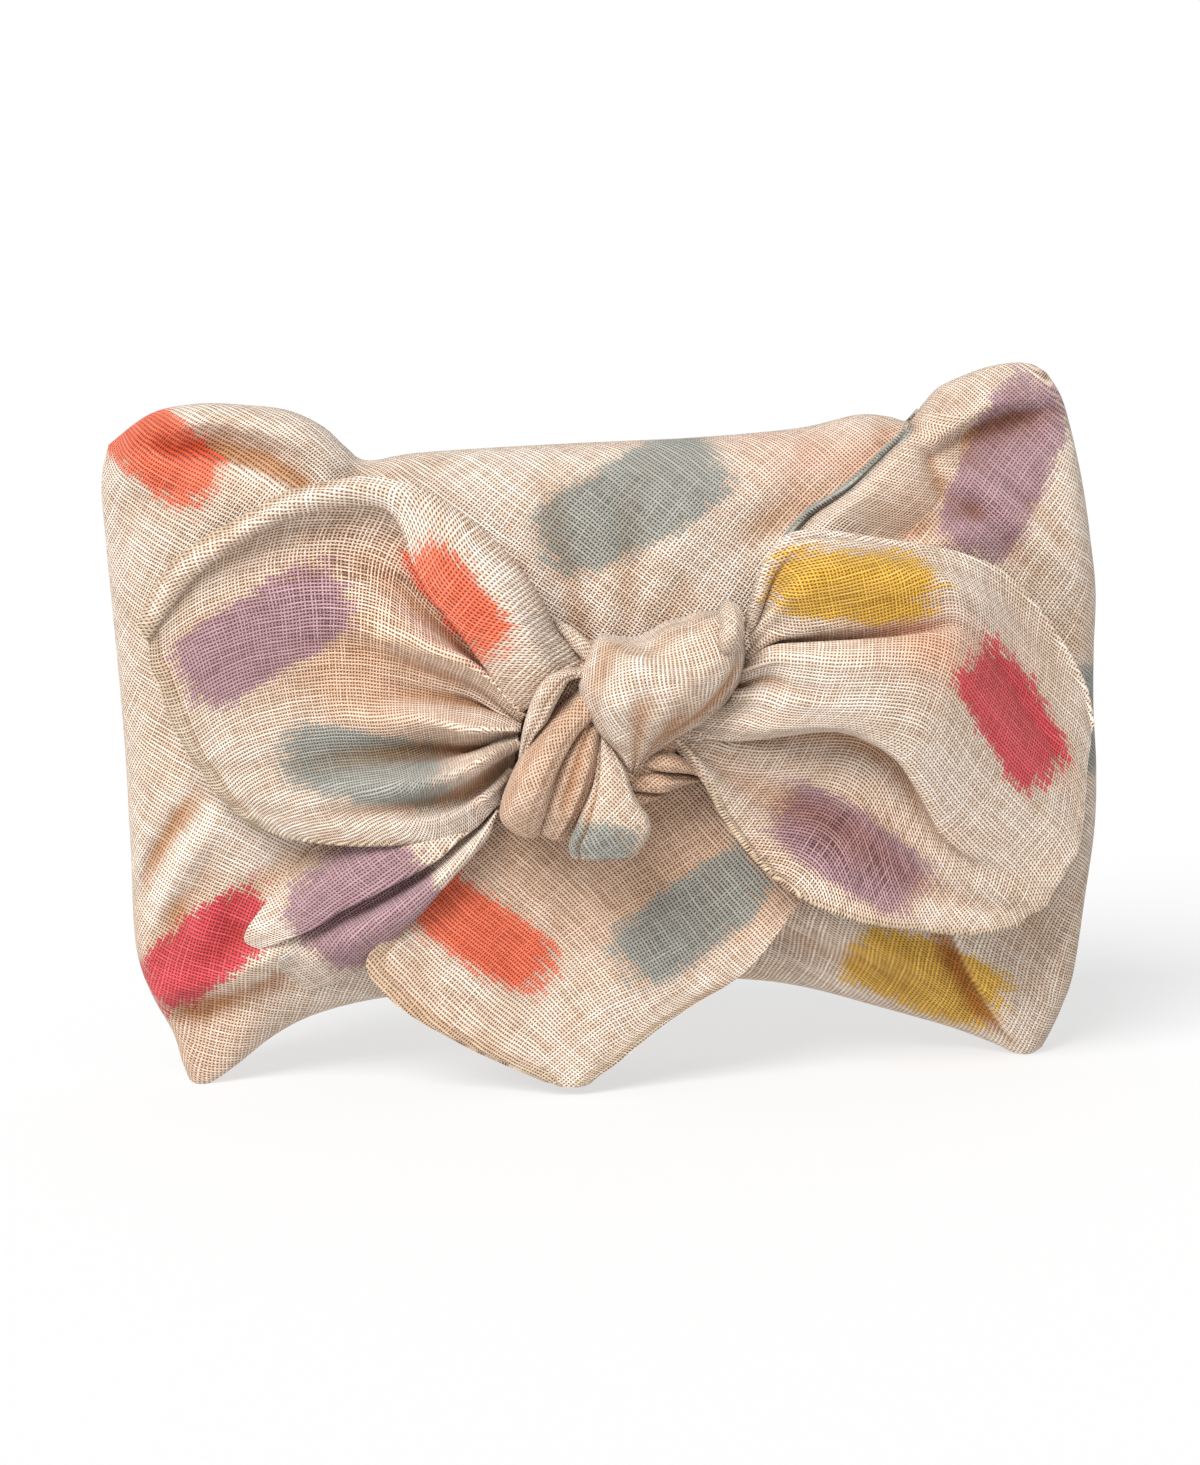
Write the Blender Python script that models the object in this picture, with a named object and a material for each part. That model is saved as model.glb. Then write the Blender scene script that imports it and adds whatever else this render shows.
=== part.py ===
"""A furoshiki: one square of open linen wrapped round a flat parcel and tied in the middle of its face.

The parcel stands on its two lower corners and on the tip of the flap that hangs down its front.
+X is to the right of someone facing the knot, -Y comes towards them and +Z is up. The tables are in
millimetres, with y = 0 in the middle of the parcel; the finished cloth is moved to stand on z = 0 with
its box centred over the origin.
"""
from collections import namedtuple

import bmesh
import bpy
import numpy as np
from mathutils import Matrix

# ---------------------------------------------------------------- driving dimensions
MM = 0.001                  # one millimetre in metres
FRONT_CROWN = 27.0          # how far the filled parcel bulges forward of its rim
BACK_CROWN = 25.0           # and backward
SQUARENESS = 3.0            # how flat the face stays before it turns down to the rim
SHEET = 2.6                 # a leaf or flap of doubled, hemmed cloth
ACROSS, UPWARD = 34, 24     # facets along the parcel's face and up it
LEAST_HALF_DEPTH = 2.0      # the parcel is never thinner than twice this
END_TAPER = 0.6             # a strand's ends against its full width
END_REACH = 1.5             # how far its rounded ends stand past its last sections
FOLD_FADE = 1.5             # a fold dies out within this many of its widths past its ends
STRAND_ROWS, STRAND_SIDES = 10, 12
FLAP_FACETS, LEAF_FACETS = 13, 17
CLOTH_COLOUR = (0.85, 0.76, 0.63)

# The parcel's rim seen from the front, in four runs. side is how deep the rim is from front to back:
# the two feet are short ridges, the upper corners are pinched.
Rim = namedtuple("Rim", "x z y side")
BOTTOM = [
    Rim(-110.5, 0.0, 0, 24), Rim(-104.0, 0.0, 0, 22), Rim(-98.3, 4.2, 0, 18), Rim(-87.7, 11.6, 0, 14),
    Rim(-75.8, 16.9, 0, 11), Rim(-57.4, 20.6, 0, 10), Rim(-28.6, 22.5, 0, 10), Rim(8.1, 23.0, 0, 10),
    Rim(34.3, 22.0, 0, 10), Rim(51.0, 19.2, 0, 10), Rim(70.0, 13.4, 0, 12), Rim(88.6, 7.2, 0, 14),
    Rim(100.0, 2.2, 0, 18), Rim(105.5, 0.0, 0, 22), Rim(112.0, 0.0, 0, 24),
]
TOP = [
    Rim(-123.5, 167.5, -2, 7), Rim(-112.5, 175.0, -2, 6), Rim(-100.0, 177.2, -3, 6),
    Rim(-88.0, 176.4, -3, 6), Rim(-77.0, 174.6, -3, 7), Rim(-68.5, 170.2, -2, 8),
    Rim(-63.0, 164.7, -1, 9), Rim(-57.5, 160.8, 0, 9), Rim(-43.8, 162.3, 0, 9),
    Rim(-10.2, 163.2, 0, 9), Rim(28.5, 163.7, 0, 9), Rim(54.3, 165.2, 0, 9),
    Rim(70.0, 168.0, 0, 9), Rim(84.0, 169.0, 0, 9), Rim(93.4, 175.5, 1, 7),
    Rim(102.5, 178.8, 2, 6), Rim(111.6, 180.2, 2, 6), Rim(119.3, 178.2, 2, 6), Rim(125.5, 170.0, 2, 7),
]
LEFT = [
    Rim(-110.5, 0.0, 0, 24), Rim(-112.3, 5.0, 0, 19), Rim(-114.5, 13.0, 0, 14), Rim(-119.0, 22.0, 0, 11),
    Rim(-122.5, 32.0, 0, 9), Rim(-123.5, 43.0, 0, 8), Rim(-123.3, 61.9, 0, 8),
    Rim(-123.5, 90.7, 0, 8), Rim(-124.5, 116.9, 0, 8), Rim(-125.6, 143.0, -1, 8),
    Rim(-125.8, 158.0, -2, 8), Rim(-123.5, 167.5, -2, 7),
]
RIGHT = [
    Rim(112.0, 0.0, 0, 24), Rim(115.0, 5.0, 0, 19), Rim(118.5, 12.0, 0, 14), Rim(121.6, 20.5, 0, 11),
    Rim(124.8, 40.0, 0, 9), Rim(127.2, 65.5, 1, 8), Rim(129.3, 91.4, 1, 8),
    Rim(130.0, 117.6, 2, 8), Rim(129.3, 138.5, 2, 8), Rim(127.6, 156.7, 2, 8),
    Rim(125.5, 170.0, 2, 7),
]

# Folds drawn into the parcel's face, each a soft trough (depth < 0) or ridge (depth > 0) that runs
# from one end to the other with a sideways bow.
Fold = namedtuple("Fold", "x0 z0 x1 z1 bow depth width")
FACE_FOLDS = [
    Fold(-104, 178, -66, 146, -5, -7.5, 5.0),       # the tuck under the left ear
    Fold(-92, 180, -52, 158, -6, 4.0, 6.0),         # and the roll of cloth over it
    Fold(44, 134, 86, 172, -4, -5.0, 4.0),          # the far corner's hem, drawn to the knot
    Fold(58, 136, 96, 176, -5, 4.5, 7.0),           # the cloth swept over it
    Fold(100, 168, 112, 120, 5, -3.0, 6.0),         # soft sweeps down from the right ear
    Fold(114, 170, 124, 128, 4, 2.5, 6.0),
    Fold(70, 146, 112, 134, 4, 2.5, 5.0),
    Fold(-24, 78, -92, 34, 4, 6.0, 8.0),            # two pleats drawn up to the knot at lower left
    Fold(-26, 74, -74, 24, 3, 5.0, 6.0),
    Fold(-25, 76, -84, 29, 3, -4.5, 3.5),
    Fold(-30, 82, -108, 52, 3, -3.0, 7.0),
    Fold(88, 38, 106, 4, 3, -5.0, 4.0),             # the tuck above the right foot
    Fold(92, 34, 116, 14, -3, 3.5, 6.0),
    Fold(52, 40, 104, 8, 3, 2.5, 7.0),
    Fold(-116, 60, -112, 14, 3, -3.0, 7.0),
]
BACK_FOLDS = [
    Fold(-108, 160, 60, 84, 6, -4.0, 8.0),          # the cloth's corners lie across each other
    Fold(-96, 166, 74, 92, 6, 3.0, 7.0),
    Fold(-96, 20, 40, 74, -5, -3.0, 8.0),
    Fold(112, 160, 40, 120, 5, -3.0, 8.0),
    Fold(104, 18, 60, 60, 4, -3.0, 7.0),
]

# A hanging sheet is a row of sections, each drawn from one edge of the cloth to the other.
# cup is how far its middle sinks behind the straight line between those edges, or stands forward
# of it where cup is below 0.
Section = namedtuple("Section", "x0 z0 y0 x1 z1 y1 cup")
# The ripples across a sheet, each from the first section to the last: at is how far across it lies,
# and a depth below 0 is a ridge.
Ripple = namedtuple("Ripple", "at0 at1 depth0 depth1 width0 width1")

FLAP = [
    Section(-22, 98, -21, 26, 98, -21, -1),
    Section(-33, 70, -28, 41, 70, -29, -2.5),
    Section(-50, 51, -27.5, 51.4, 49, -29, -3.5),
    Section(-61.7, 34.3, -27.5, 45.0, 41.0, -30, -5),
    Section(-48.4, 20.2, -29, 33.1, 28.6, -32, -5),
    Section(-26.5, 8.4, -33, 14.0, 14.0, -35, -3),
    Section(-14.0, 0.0, -37, -4.5, 0.0, -37, 0),
]
FLAP_RIPPLES = [
    Ripple(0.30, 0.34, -1.5, -2.0, 0.10, 0.10),
    Ripple(0.68, 0.66, -1.0, -1.5, 0.10, 0.10),
]

LEFT_LEAF = [
    Section(-3.0, 112.0, -42, -18.0, 92.0, -42, -2),
    Section(-15.0, 128.2, -41, -26.3, 81.8, -41, -4),
    Section(-27.7, 146.4, -38, -39.5, 71.5, -38, -2),
    Section(-46.4, 157.8, -35, -55.1, 67.4, -36, 2),
    Section(-65.5, 158.0, -33, -77.3, 69.4, -35, 4),
    Section(-85.6, 151.6, -31, -93.7, 76.8, -32, 4),
    Section(-104.2, 137.8, -28, -107.3, 98.0, -28.5, 3),
    Section(-115.4, 126.9, -25, -115.0, 118.5, -25, 1),
]
LEFT_RIPPLES = [
    Ripple(0.05, 0.05, -4.0, -2.0, 0.10, 0.05),
    Ripple(0.28, 0.20, -5.0, 0.0, 0.10, 0.16),
    Ripple(0.50, 0.42, 5.5, 0.0, 0.07, 0.14),
    Ripple(0.72, 0.66, -4.5, 0.0, 0.08, 0.18),
    Ripple(0.92, 0.95, -2.0, -1.5, 0.07, 0.06),
]

RIGHT_LEAF = [
    Section(33.0, 120.0, -44, 24.0, 88.0, -42, -3),
    Section(41.4, 135.0, -42, 28.2, 77.5, -41, -7),
    Section(50.6, 142.2, -40, 37.6, 62.4, -38, -10),
    Section(68.4, 141.0, -37, 56.6, 46.5, -35, -12),
    Section(88.3, 137.0, -35, 74.0, 41.4, -33, -12),
    Section(105.2, 127.2, -32, 91.5, 39.1, -31, -10),
    Section(118.3, 109.9, -27, 110.0, 41.8, -26, -6),
    Section(125.4, 84.0, -22, 123.6, 62.0, -22, -2),
]
RIGHT_RIPPLES = [
    Ripple(0.12, 0.10, -3.5, -1.0, 0.09, 0.12),
    Ripple(0.27, 0.22, 4.5, 1.0, 0.05, 0.12),
    Ripple(0.42, 0.36, -4.5, -2.5, 0.07, 0.14),
    Ripple(0.58, 0.56, 6.0, 1.5, 0.06, 0.12),
    Ripple(0.80, 0.80, -4.0, -1.5, 0.09, 0.14),
]

# A strand of gathered cloth: rows along its middle line, with its width and its thickness.
Station = namedtuple("Station", "x z y wide thick")
CAP = [
    Station(38.0, 121.5, -42, 20, 18), Station(33.0, 116.5, -46, 27, 22),
    Station(24.0, 112.0, -50, 32, 25), Station(13.5, 106.5, -52, 36, 26),
    Station(6.0, 100.0, -51, 33, 24), Station(5.2, 92.5, -49, 23, 19),
    Station(7.4, 84.5, -45, 12, 12),
]
SECOND_BAND = [
    Station(2.0, 107.0, -42, 20, 16), Station(-6.5, 98.0, -46, 20, 17),
    Station(-12.0, 88.5, -48, 19, 17), Station(-15.5, 79.5, -46, 17, 16),
    Station(-16.5, 73.5, -42, 15, 12),
]
THIRD_BAND = [
    Station(3.0, 97.0, -41, 16, 14), Station(-1.0, 88.0, -44, 16, 14),
    Station(-5.5, 78.0, -44, 14, 14), Station(-8.0, 70.5, -41, 12, 11),
]
LOOP = [
    Station(-1.0, 113.5, -40, 11, 12), Station(-9.5, 110.0, -44, 11, 13),
    Station(-16.5, 103.0, -45, 11, 14), Station(-20.5, 93.5, -43, 11, 14),
    Station(-23.0, 82.0, -39, 11, 12),
]
TONGUE = [
    Station(5.0, 96.0, -43, 11, 10), Station(4.0, 87.0, -46, 11, 11),
    Station(2.5, 77.0, -47, 15, 11), Station(1.8, 69.5, -46, 19, 10),
    Station(1.4, 64.5, -44, 18, 8),
]
PLEAT = [
    Station(8.0, 87.0, -38, 13, 14), Station(17.0, 84.0, -40, 13, 14),
    Station(25.0, 82.5, -37, 11, 12),
]
CORE = [
    Station(-20.0, 88.0, -32, 26, 24), Station(-6.0, 92.0, -35, 40, 30),
    Station(8.0, 98.0, -36, 44, 32), Station(20.0, 104.0, -35, 38, 30),
    Station(33.0, 108.0, -33, 30, 24),
]


# ---------------------------------------------------------------- curves and surfaces
def smooth_rows(rows, at):
    """Rows read at the shares `at` (0 to 1) of the way along a smooth curve through every row.

    Between two rows it is the Catmull-Rom cubic of its four nearest rows.
    """
    table = np.array(rows, float)
    place = np.clip(at, 0, 1) * (len(table) - 1)
    low = np.minimum(place.astype(int), len(table) - 2)
    part = (place - low)[:, None]
    before, first, second, after = (table[np.clip(low + step, 0, len(table) - 1)] for step in (-1, 0, 1, 2))
    return first + 0.5 * part * (second - before + part * (
        2 * before - 5 * first + 4 * second - after + part * (3 * (first - second) + after - before)))


def even_rows(rows, at, fine_count=400):
    """The same, with the shares measured by length along the curve."""
    fine = np.linspace(0, 1, fine_count)
    line = smooth_rows(rows, fine)
    length = np.append(0, np.cumsum(np.hypot(*np.diff(line[:, :2], axis=0).T)))
    return smooth_rows(rows, np.interp(np.asarray(at) * length[-1], length, fine))


def back_to_back(front, back):
    """One closed mesh of two like grids of points that lie back to back, with its edges filled."""
    size = front.shape[0] * front.shape[1]
    index = np.arange(size).reshape(front.shape[:2])
    quads = np.stack([index[:-1, :-1], index[:-1, 1:], index[1:, 1:], index[1:, :-1]], axis=-1).reshape(-1, 4)
    edge = np.concatenate([index[0], index[1:, -1], index[-1, -2::-1], index[-2:0:-1, 0]])
    after = np.roll(edge, -1)
    strip = np.column_stack([after, edge, size + edge, size + after])
    points = np.vstack([front.reshape(-1, 3), back.reshape(-1, 3)])
    return points, np.vstack([quads, size + quads[:, ::-1], strip]).tolist()


def fold_height(x, z, folds):
    """The sum of the folds at (x, z): a bell across each fold's bowed line, fading out at its ends."""
    height = np.zeros_like(x)
    for fold in folds:
        along = np.array([fold.x1 - fold.x0, fold.z1 - fold.z0], float)
        length = np.hypot(*along)
        along /= length
        step = (x - fold.x0) * along[0] + (z - fold.z0) * along[1]
        share = np.clip(step / length, 0, 1)
        bowed = fold.bow * 4 * share * (1 - share)
        aside = (z - fold.z0) * along[0] - (x - fold.x0) * along[1] - bowed
        beyond = step - share * length
        height += fold.depth * np.exp(-(aside / fold.width) ** 2 - (beyond / (FOLD_FADE * fold.width)) ** 2)
    return height


def parcel():
    """The filled parcel, one closed mesh: its face, its back and the rim between them.

    Each face is stretched between the four runs of the rim (a Coons patch) and swells away from it.
    """
    across = 0.5 - 0.5 * np.cos(np.linspace(0, np.pi, ACROSS + 1))
    upward = 0.5 - 0.5 * np.cos(np.linspace(0, np.pi, UPWARD + 1))
    low, high = even_rows(BOTTOM, across)[:, None], even_rows(TOP, across)[:, None]
    left, right = even_rows(LEFT, upward)[None], even_rows(RIGHT, upward)[None]
    s, t = across[:, None, None], upward[None, :, None]
    corners = (1 - s) * ((1 - t) * low[:1] + t * high[:1]) + s * ((1 - t) * low[-1:] + t * high[-1:])
    patch = (1 - t) * low + t * high + (1 - s) * left + s * right - corners
    x, z, middle, side = np.moveaxis(patch, 2, 0)
    swell = np.sqrt((1 - abs(2 * s - 1) ** SQUARENESS) * (1 - abs(2 * t - 1) ** SQUARENESS))[..., 0]
    fade = np.minimum(1, 3 * swell)
    faces = []
    for way, crown, folds in ((-1, FRONT_CROWN, FACE_FOLDS), (1, BACK_CROWN, BACK_FOLDS)):
        rise = side / 2 + (crown - side / 2) * swell + fade * fold_height(x, z, folds)
        y = middle + way * np.maximum(rise, LEAST_HALF_DEPTH)
        faces.append(np.stack([x, y, np.maximum(z, 0)], axis=2))
    return back_to_back(*faces)


def sheet(sections, ripples, facets):
    """A closed sheet: its middle surface moved half its thickness forward and back, edges filled."""
    shares = np.linspace(0, 1, facets)
    rows = smooth_rows(sections, shares)
    along, across = shares[:, None], shares[None, :]
    start, end, cup = rows[:, None, 0:3], rows[:, None, 3:6], rows[:, 6:7]
    points = start + (end - start) * across[..., None]
    sink = cup * 4 * across * (1 - across)
    for ripple in ripples:
        at = ripple.at0 + (ripple.at1 - ripple.at0) * along
        depth = ripple.depth0 + (ripple.depth1 - ripple.depth0) * along
        width = ripple.width0 + (ripple.width1 - ripple.width0) * along
        sink = sink + depth * np.exp(-((across - at) / width) ** 2)
    points[..., 2] += sink
    middle = points[..., [0, 2, 1]]
    half = np.array([0, SHEET / 2, 0])
    return back_to_back(middle - half, middle + half)


def strand(stations):
    """A closed strand with an oval section that is square to its middle line, and blunt ends."""
    rows = smooth_rows(stations, np.linspace(0, 1, STRAND_ROWS))
    middle = rows[:, [0, 2, 1]]
    heading = np.gradient(middle, axis=0)
    heading /= np.linalg.norm(heading, axis=1, keepdims=True)
    sideways = np.cross(heading, [0, 1, 0])
    sideways /= np.linalg.norm(sideways, axis=1, keepdims=True)
    outward = np.cross(sideways, heading)
    taper = np.where(np.isin(np.arange(STRAND_ROWS), (0, STRAND_ROWS - 1)), END_TAPER, 1)[:, None]
    angle = np.linspace(0, 2 * np.pi, STRAND_SIDES, endpoint=False)
    half_width = np.cos(angle) * rows[:, 3:4] * taper / 2
    half_depth = np.sin(angle) * rows[:, 4:5] * taper / 2
    rings = (middle[:, None] + sideways[:, None] * half_width[..., None]
             + outward[:, None] * half_depth[..., None])
    tips = middle[[0, -1]] + heading[[0, -1]] * [[-END_REACH], [END_REACH]]
    index = np.arange(STRAND_ROWS * STRAND_SIDES).reshape(STRAND_ROWS, STRAND_SIDES)
    after = np.roll(index, -1, axis=1)
    faces = np.stack([index[:-1], after[:-1], after[1:], index[1:]], axis=-1).reshape(-1, 4).tolist()
    for row, tip in ((0, index.size), (-1, index.size + 1)):
        faces += [[first, second, tip] for first, second in zip(index[row].tolist(), after[row].tolist())]
    return np.vstack([rings.reshape(-1, 3), tips]), faces


# ---------------------------------------------------------------- the cloth
def add_mesh(name, shape):
    """An object with the given points (mm) and faces, its faces turned outward."""
    points, faces = shape
    mesh = bpy.data.meshes.new(name)
    mesh.from_pydata((points * MM).tolist(), [], faces)
    built = bmesh.new()
    built.from_mesh(mesh)
    bmesh.ops.triangulate(built, faces=built.faces)
    bmesh.ops.recalc_face_normals(built, faces=built.faces)
    built.to_mesh(mesh)
    built.free()
    piece = bpy.data.objects.new(name, mesh)
    bpy.context.scene.collection.objects.link(piece)
    return piece


def cloth_material():
    """Plain woven linen: matt, a warm off-white."""
    material = bpy.data.materials.new("woven_linen")
    material.use_nodes = True
    shader = material.node_tree.nodes["Principled BSDF"]
    shader.inputs["Base Color"].default_value = (*CLOTH_COLOUR, 1)
    shader.inputs["Roughness"].default_value = 0.9
    shader.inputs["Metallic"].default_value = 0.0
    return material


def fill_pockets(mesh):
    """Fill the pockets shut in between gathered strands: only the outermost shell is kept."""
    built = bmesh.new()
    built.from_mesh(mesh)
    waiting, shells = set(built.faces), []
    while waiting:
        shell, edge = set(), {next(iter(waiting))}
        while edge:
            shell |= edge
            edge = {near for face in edge for side in face.edges for near in side.link_faces} - shell
        waiting -= shell
        shells.append(shell)
    largest = max(shells, key=lambda shell: sum(face.calc_area() for face in shell))
    hidden = [face for shell in shells if shell is not largest for face in shell]
    bmesh.ops.delete(built, geom=hidden, context="FACES")
    built.to_mesh(mesh)
    built.free()


def join_cloth(body, pieces):
    """Unite every gathered or hanging stretch with the parcel, so the cloth is one solid."""
    for piece in pieces:
        union = body.modifiers.new(piece.name, "BOOLEAN")
        union.operation = "UNION"
        union.solver = "EXACT"
        union.object = piece
    bpy.context.view_layer.update()
    joined = bpy.data.meshes.new_from_object(body.evaluated_get(bpy.context.evaluated_depsgraph_get()))
    body.modifiers.clear()
    body.data = joined
    fill_pockets(joined)
    for piece in pieces:
        bpy.data.objects.remove(piece, do_unlink=True)


def stand_on_origin(body):
    """Move the cloth's points so that its box stands on z = 0, centred over the origin."""
    corners = np.array([vertex.co for vertex in body.data.vertices])
    low, high = corners.min(axis=0), corners.max(axis=0)
    middle = (low + high) / 2
    body.data.transform(Matrix.Translation((-middle[0], -middle[1], -low[2])))
    body.data.update()


def main():
    """Build the tied cloth."""
    for old in list(bpy.data.objects):
        bpy.data.objects.remove(old, do_unlink=True)
    body = add_mesh("wrap_cloth", parcel())
    pieces = [add_mesh("knot_core", strand(CORE)),
              add_mesh("flap", sheet(FLAP, FLAP_RIPPLES, FLAP_FACETS)),
              add_mesh("left_leaf", sheet(LEFT_LEAF, LEFT_RIPPLES, LEAF_FACETS)),
              add_mesh("right_leaf", sheet(RIGHT_LEAF, RIGHT_RIPPLES, LEAF_FACETS))]
    for name, stations in (("cap", CAP), ("second_band", SECOND_BAND), ("third_band", THIRD_BAND),
                           ("loop", LOOP), ("tongue", TONGUE), ("pleat", PLEAT)):
        pieces.append(add_mesh(name, strand(stations)))
    join_cloth(body, pieces)
    stand_on_origin(body)
    body.data.materials.clear()
    body.data.materials.append(cloth_material())
    body.data.shade_smooth()


main()
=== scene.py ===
# %% [markdown]
# # A furoshiki tied round a flat parcel
# A furoshiki is one hemmed square of cloth. Here its near corner hangs down the face as a flap, its two
# side corners are knotted in front with their ends spread like leaves, and its far corner comes over the
# top. This lesson makes what the eye sees of that cloth: thin, folded surfaces worked out with numpy, one
# for each stretch of the cloth between two tucks, and one woven, dyed linen for all of them. The packed
# model is the fixed frame. Its one body is called root, and every piece here rides on it.

# %% The frame, and what the lesson works with
from collections import namedtuple

import bmesh
import bpy
import numpy as np
from mathutils import Matrix, Vector


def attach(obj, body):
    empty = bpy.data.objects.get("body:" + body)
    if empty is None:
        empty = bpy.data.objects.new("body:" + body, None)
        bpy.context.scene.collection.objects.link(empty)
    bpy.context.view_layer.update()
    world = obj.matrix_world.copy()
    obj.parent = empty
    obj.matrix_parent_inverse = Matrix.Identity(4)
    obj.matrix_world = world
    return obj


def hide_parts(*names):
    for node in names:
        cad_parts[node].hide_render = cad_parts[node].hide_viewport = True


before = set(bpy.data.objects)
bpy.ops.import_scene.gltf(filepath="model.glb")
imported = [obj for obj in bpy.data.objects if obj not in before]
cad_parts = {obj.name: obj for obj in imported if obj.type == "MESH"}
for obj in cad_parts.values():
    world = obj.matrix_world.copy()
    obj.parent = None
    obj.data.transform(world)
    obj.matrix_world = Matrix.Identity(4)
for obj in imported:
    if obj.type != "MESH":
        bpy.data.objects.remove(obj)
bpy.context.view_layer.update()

# %% Sizes shared by every piece
MM = 0.001  # one millimetre in metres
TO_FRAME = np.array([-2.0, 18.8, 0.0])  # mm: from the tables' axes to the frame's
CLOTH = "wrap_cloth"  # the solid that all of this stands for
HALF_CLOTH = 0.4  # mm: half the cloth's thickness, drawn a little full
HALF_HEM = 0.9  # and half of a turned hem's
HEM = 4.4  # mm: how wide the turned hem is
STITCHED = 0.2  # mm: how deep its seam draws in each side

# %% [markdown]
# ## Camera
# The parcel is seen square on from a little above, through a long lens so that it hardly tapers. The camera
# is placed at given values: 1.16 m from the middle of the parcel, 8 degrees up, and rolled about 2 degrees,
# which is why the right side looks higher. A track-to constraint could aim it, but a matrix says the same in
# one line and leaves nothing live in the scene.

# %% The camera
AIM = Vector((-0.0020, 0.0188, 0.0879))  # m: the middle of the parcel
DISTANCE = 1.1639  # m
RISE, ROLL = np.radians(8.0), np.radians(2.07)
SENSOR, SEEN_WIDTH = 36.0, 0.312  # mm of sensor, and m of the parcel's plane that fill it
camera = bpy.data.objects.new("camera", bpy.data.cameras.new("camera"))
bpy.context.scene.collection.objects.link(camera)
camera.data.sensor_fit = "HORIZONTAL"
camera.data.sensor_width = SENSOR
camera.data.lens = SENSOR * DISTANCE / SEEN_WIDTH
away = Vector((0, -DISTANCE * np.cos(RISE), DISTANCE * np.sin(RISE)))
camera.matrix_world = (Matrix.Translation(AIM + away) @ Matrix.Rotation(np.pi / 2 - RISE, 4, "X")
                       @ Matrix.Rotation(-ROLL, 4, "Z"))
bpy.context.scene.camera = camera
print("lens", round(camera.data.lens, 1), "mm")

# %% [markdown]
# ## Light and floor
# A product picture on white: one broad soft light high on the left, and white all round. Near the horizon
# the surround is as bright as paper, like the walls of a white studio; overhead it is dimmer, so that the
# broad light still draws the folds. A sun with a wide angle is used for it, because it lights a large floor
# evenly. Standard colour is used in place of a film look, so that white paper stays white.


# %% One node
def add(tree, kind, inputs=(), out=0, **settings):
    """Add one node with its settings. inputs are values or outputs, in order or by an input's name."""
    node = tree.nodes.new("ShaderNode" + kind)
    for name, value in settings.items():
        setattr(node, name, value)
    for key, value in inputs.items() if isinstance(inputs, dict) else enumerate(inputs):
        if isinstance(value, bpy.types.NodeSocket):
            tree.links.new(value, node.inputs[key])
        else:
            node.inputs[key].default_value = value
    return node.outputs[out] if node.outputs else node


def linear(hex_colour):
    """An sRGB hex colour as linear red, green, blue and 1."""
    share = np.array([int(hex_colour[i:i + 2], 16) for i in (1, 3, 5)]) / 255
    return (*np.where(share <= 0.04045, share / 12.92, ((share + 0.055) / 1.055) ** 2.4), 1.0)


# %% The white surround
WALLS, OVERHEAD = 1.08, 0.50  # brightness near the horizon, and above
WALLS_TO, OVERHEAD_FROM = 0.10, 0.26  # the heights, as sines, between which it changes
bpy.context.scene.view_settings.view_transform = "Standard"
surround = bpy.data.worlds.new("surround")
surround.use_nodes = True
toward = add(surround.node_tree, "TexCoord", out="Generated")
height = add(surround.node_tree, "SeparateXYZ", {0: toward}, out=2)
glow = add(surround.node_tree, "MapRange", (height, WALLS_TO, OVERHEAD_FROM, WALLS, OVERHEAD))
surround.node_tree.links.new(glow, surround.node_tree.nodes["Background"].inputs["Strength"])
surround.node_tree.nodes["Background"].inputs["Color"].default_value = linear("#FFFFFF")
bpy.context.scene.world = surround

# %% The broad light
STRENGTH, SPREAD = 3.7, np.radians(34)  # W/m2, and the angle across which the light comes
LIGHT_FROM, LIGHT_TO = Vector((-0.52, -0.95, 1.08)), Vector((0, 0, 0.08))
softbox = bpy.data.lights.new("softbox", "SUN")
softbox.energy = STRENGTH
softbox.angle = SPREAD
holder = bpy.data.objects.new("softbox", softbox)
holder.location = LIGHT_FROM
holder.rotation_euler = (LIGHT_TO - holder.location).to_track_quat("-Z", "Y").to_euler()
bpy.context.scene.collection.objects.link(holder)
print("light from", tuple(round(value, 2) for value in holder.location))

# %% The floor
# Opal acrylic on a light table, sanded matt and lit from beneath: it keeps the cloth's shadow soft and pale.
FLOOR_RADIUS, FLOOR_SIDES = 4, 96  # m
BOARD_GREY, BOARD_GLOW = "#919191", 0.60
opal = bpy.data.materials.new("opal_acrylic_light_table")
opal.use_nodes = True
board = opal.node_tree.nodes["Principled BSDF"]
board.inputs["Base Color"].default_value = linear(BOARD_GREY)
board.inputs["Roughness"].default_value = 0.9
board.inputs["Emission Color"].default_value = linear("#FFFFFF")
board.inputs["Emission Strength"].default_value = BOARD_GLOW
floor_mesh = bpy.data.meshes.new("floor")
turn = np.linspace(0, 2 * np.pi, FLOOR_SIDES, endpoint=False)
disc = np.column_stack([FLOOR_RADIUS * np.cos(turn), FLOOR_RADIUS * np.sin(turn), 0 * turn])
floor_mesh.from_pydata(disc.tolist(), [], [list(range(FLOOR_SIDES))])
floor = bpy.data.objects.new("floor", floor_mesh)
bpy.context.scene.collection.objects.link(floor)
floor.data.materials.append(opal)
print("floor:", 2 * FLOOR_RADIUS, "m across")

# %% [markdown]
# ## How a folded cloth is drawn as a surface
# A fold can be modelled by pushing vertices about, by simulating the cloth, or by saying where its lines
# run. The third is used here, because a knot is remembered by its lines: the rim, the crest of a fold, the
# edge where it hides what is under it, the trough beneath. Each stretch of cloth is a table of such lines,
# all from the knot outward. A smooth curve runs along each line, and a second one across them all, so a
# crest that stands in front of its trough makes a real overlap and not a painted one.

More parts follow.
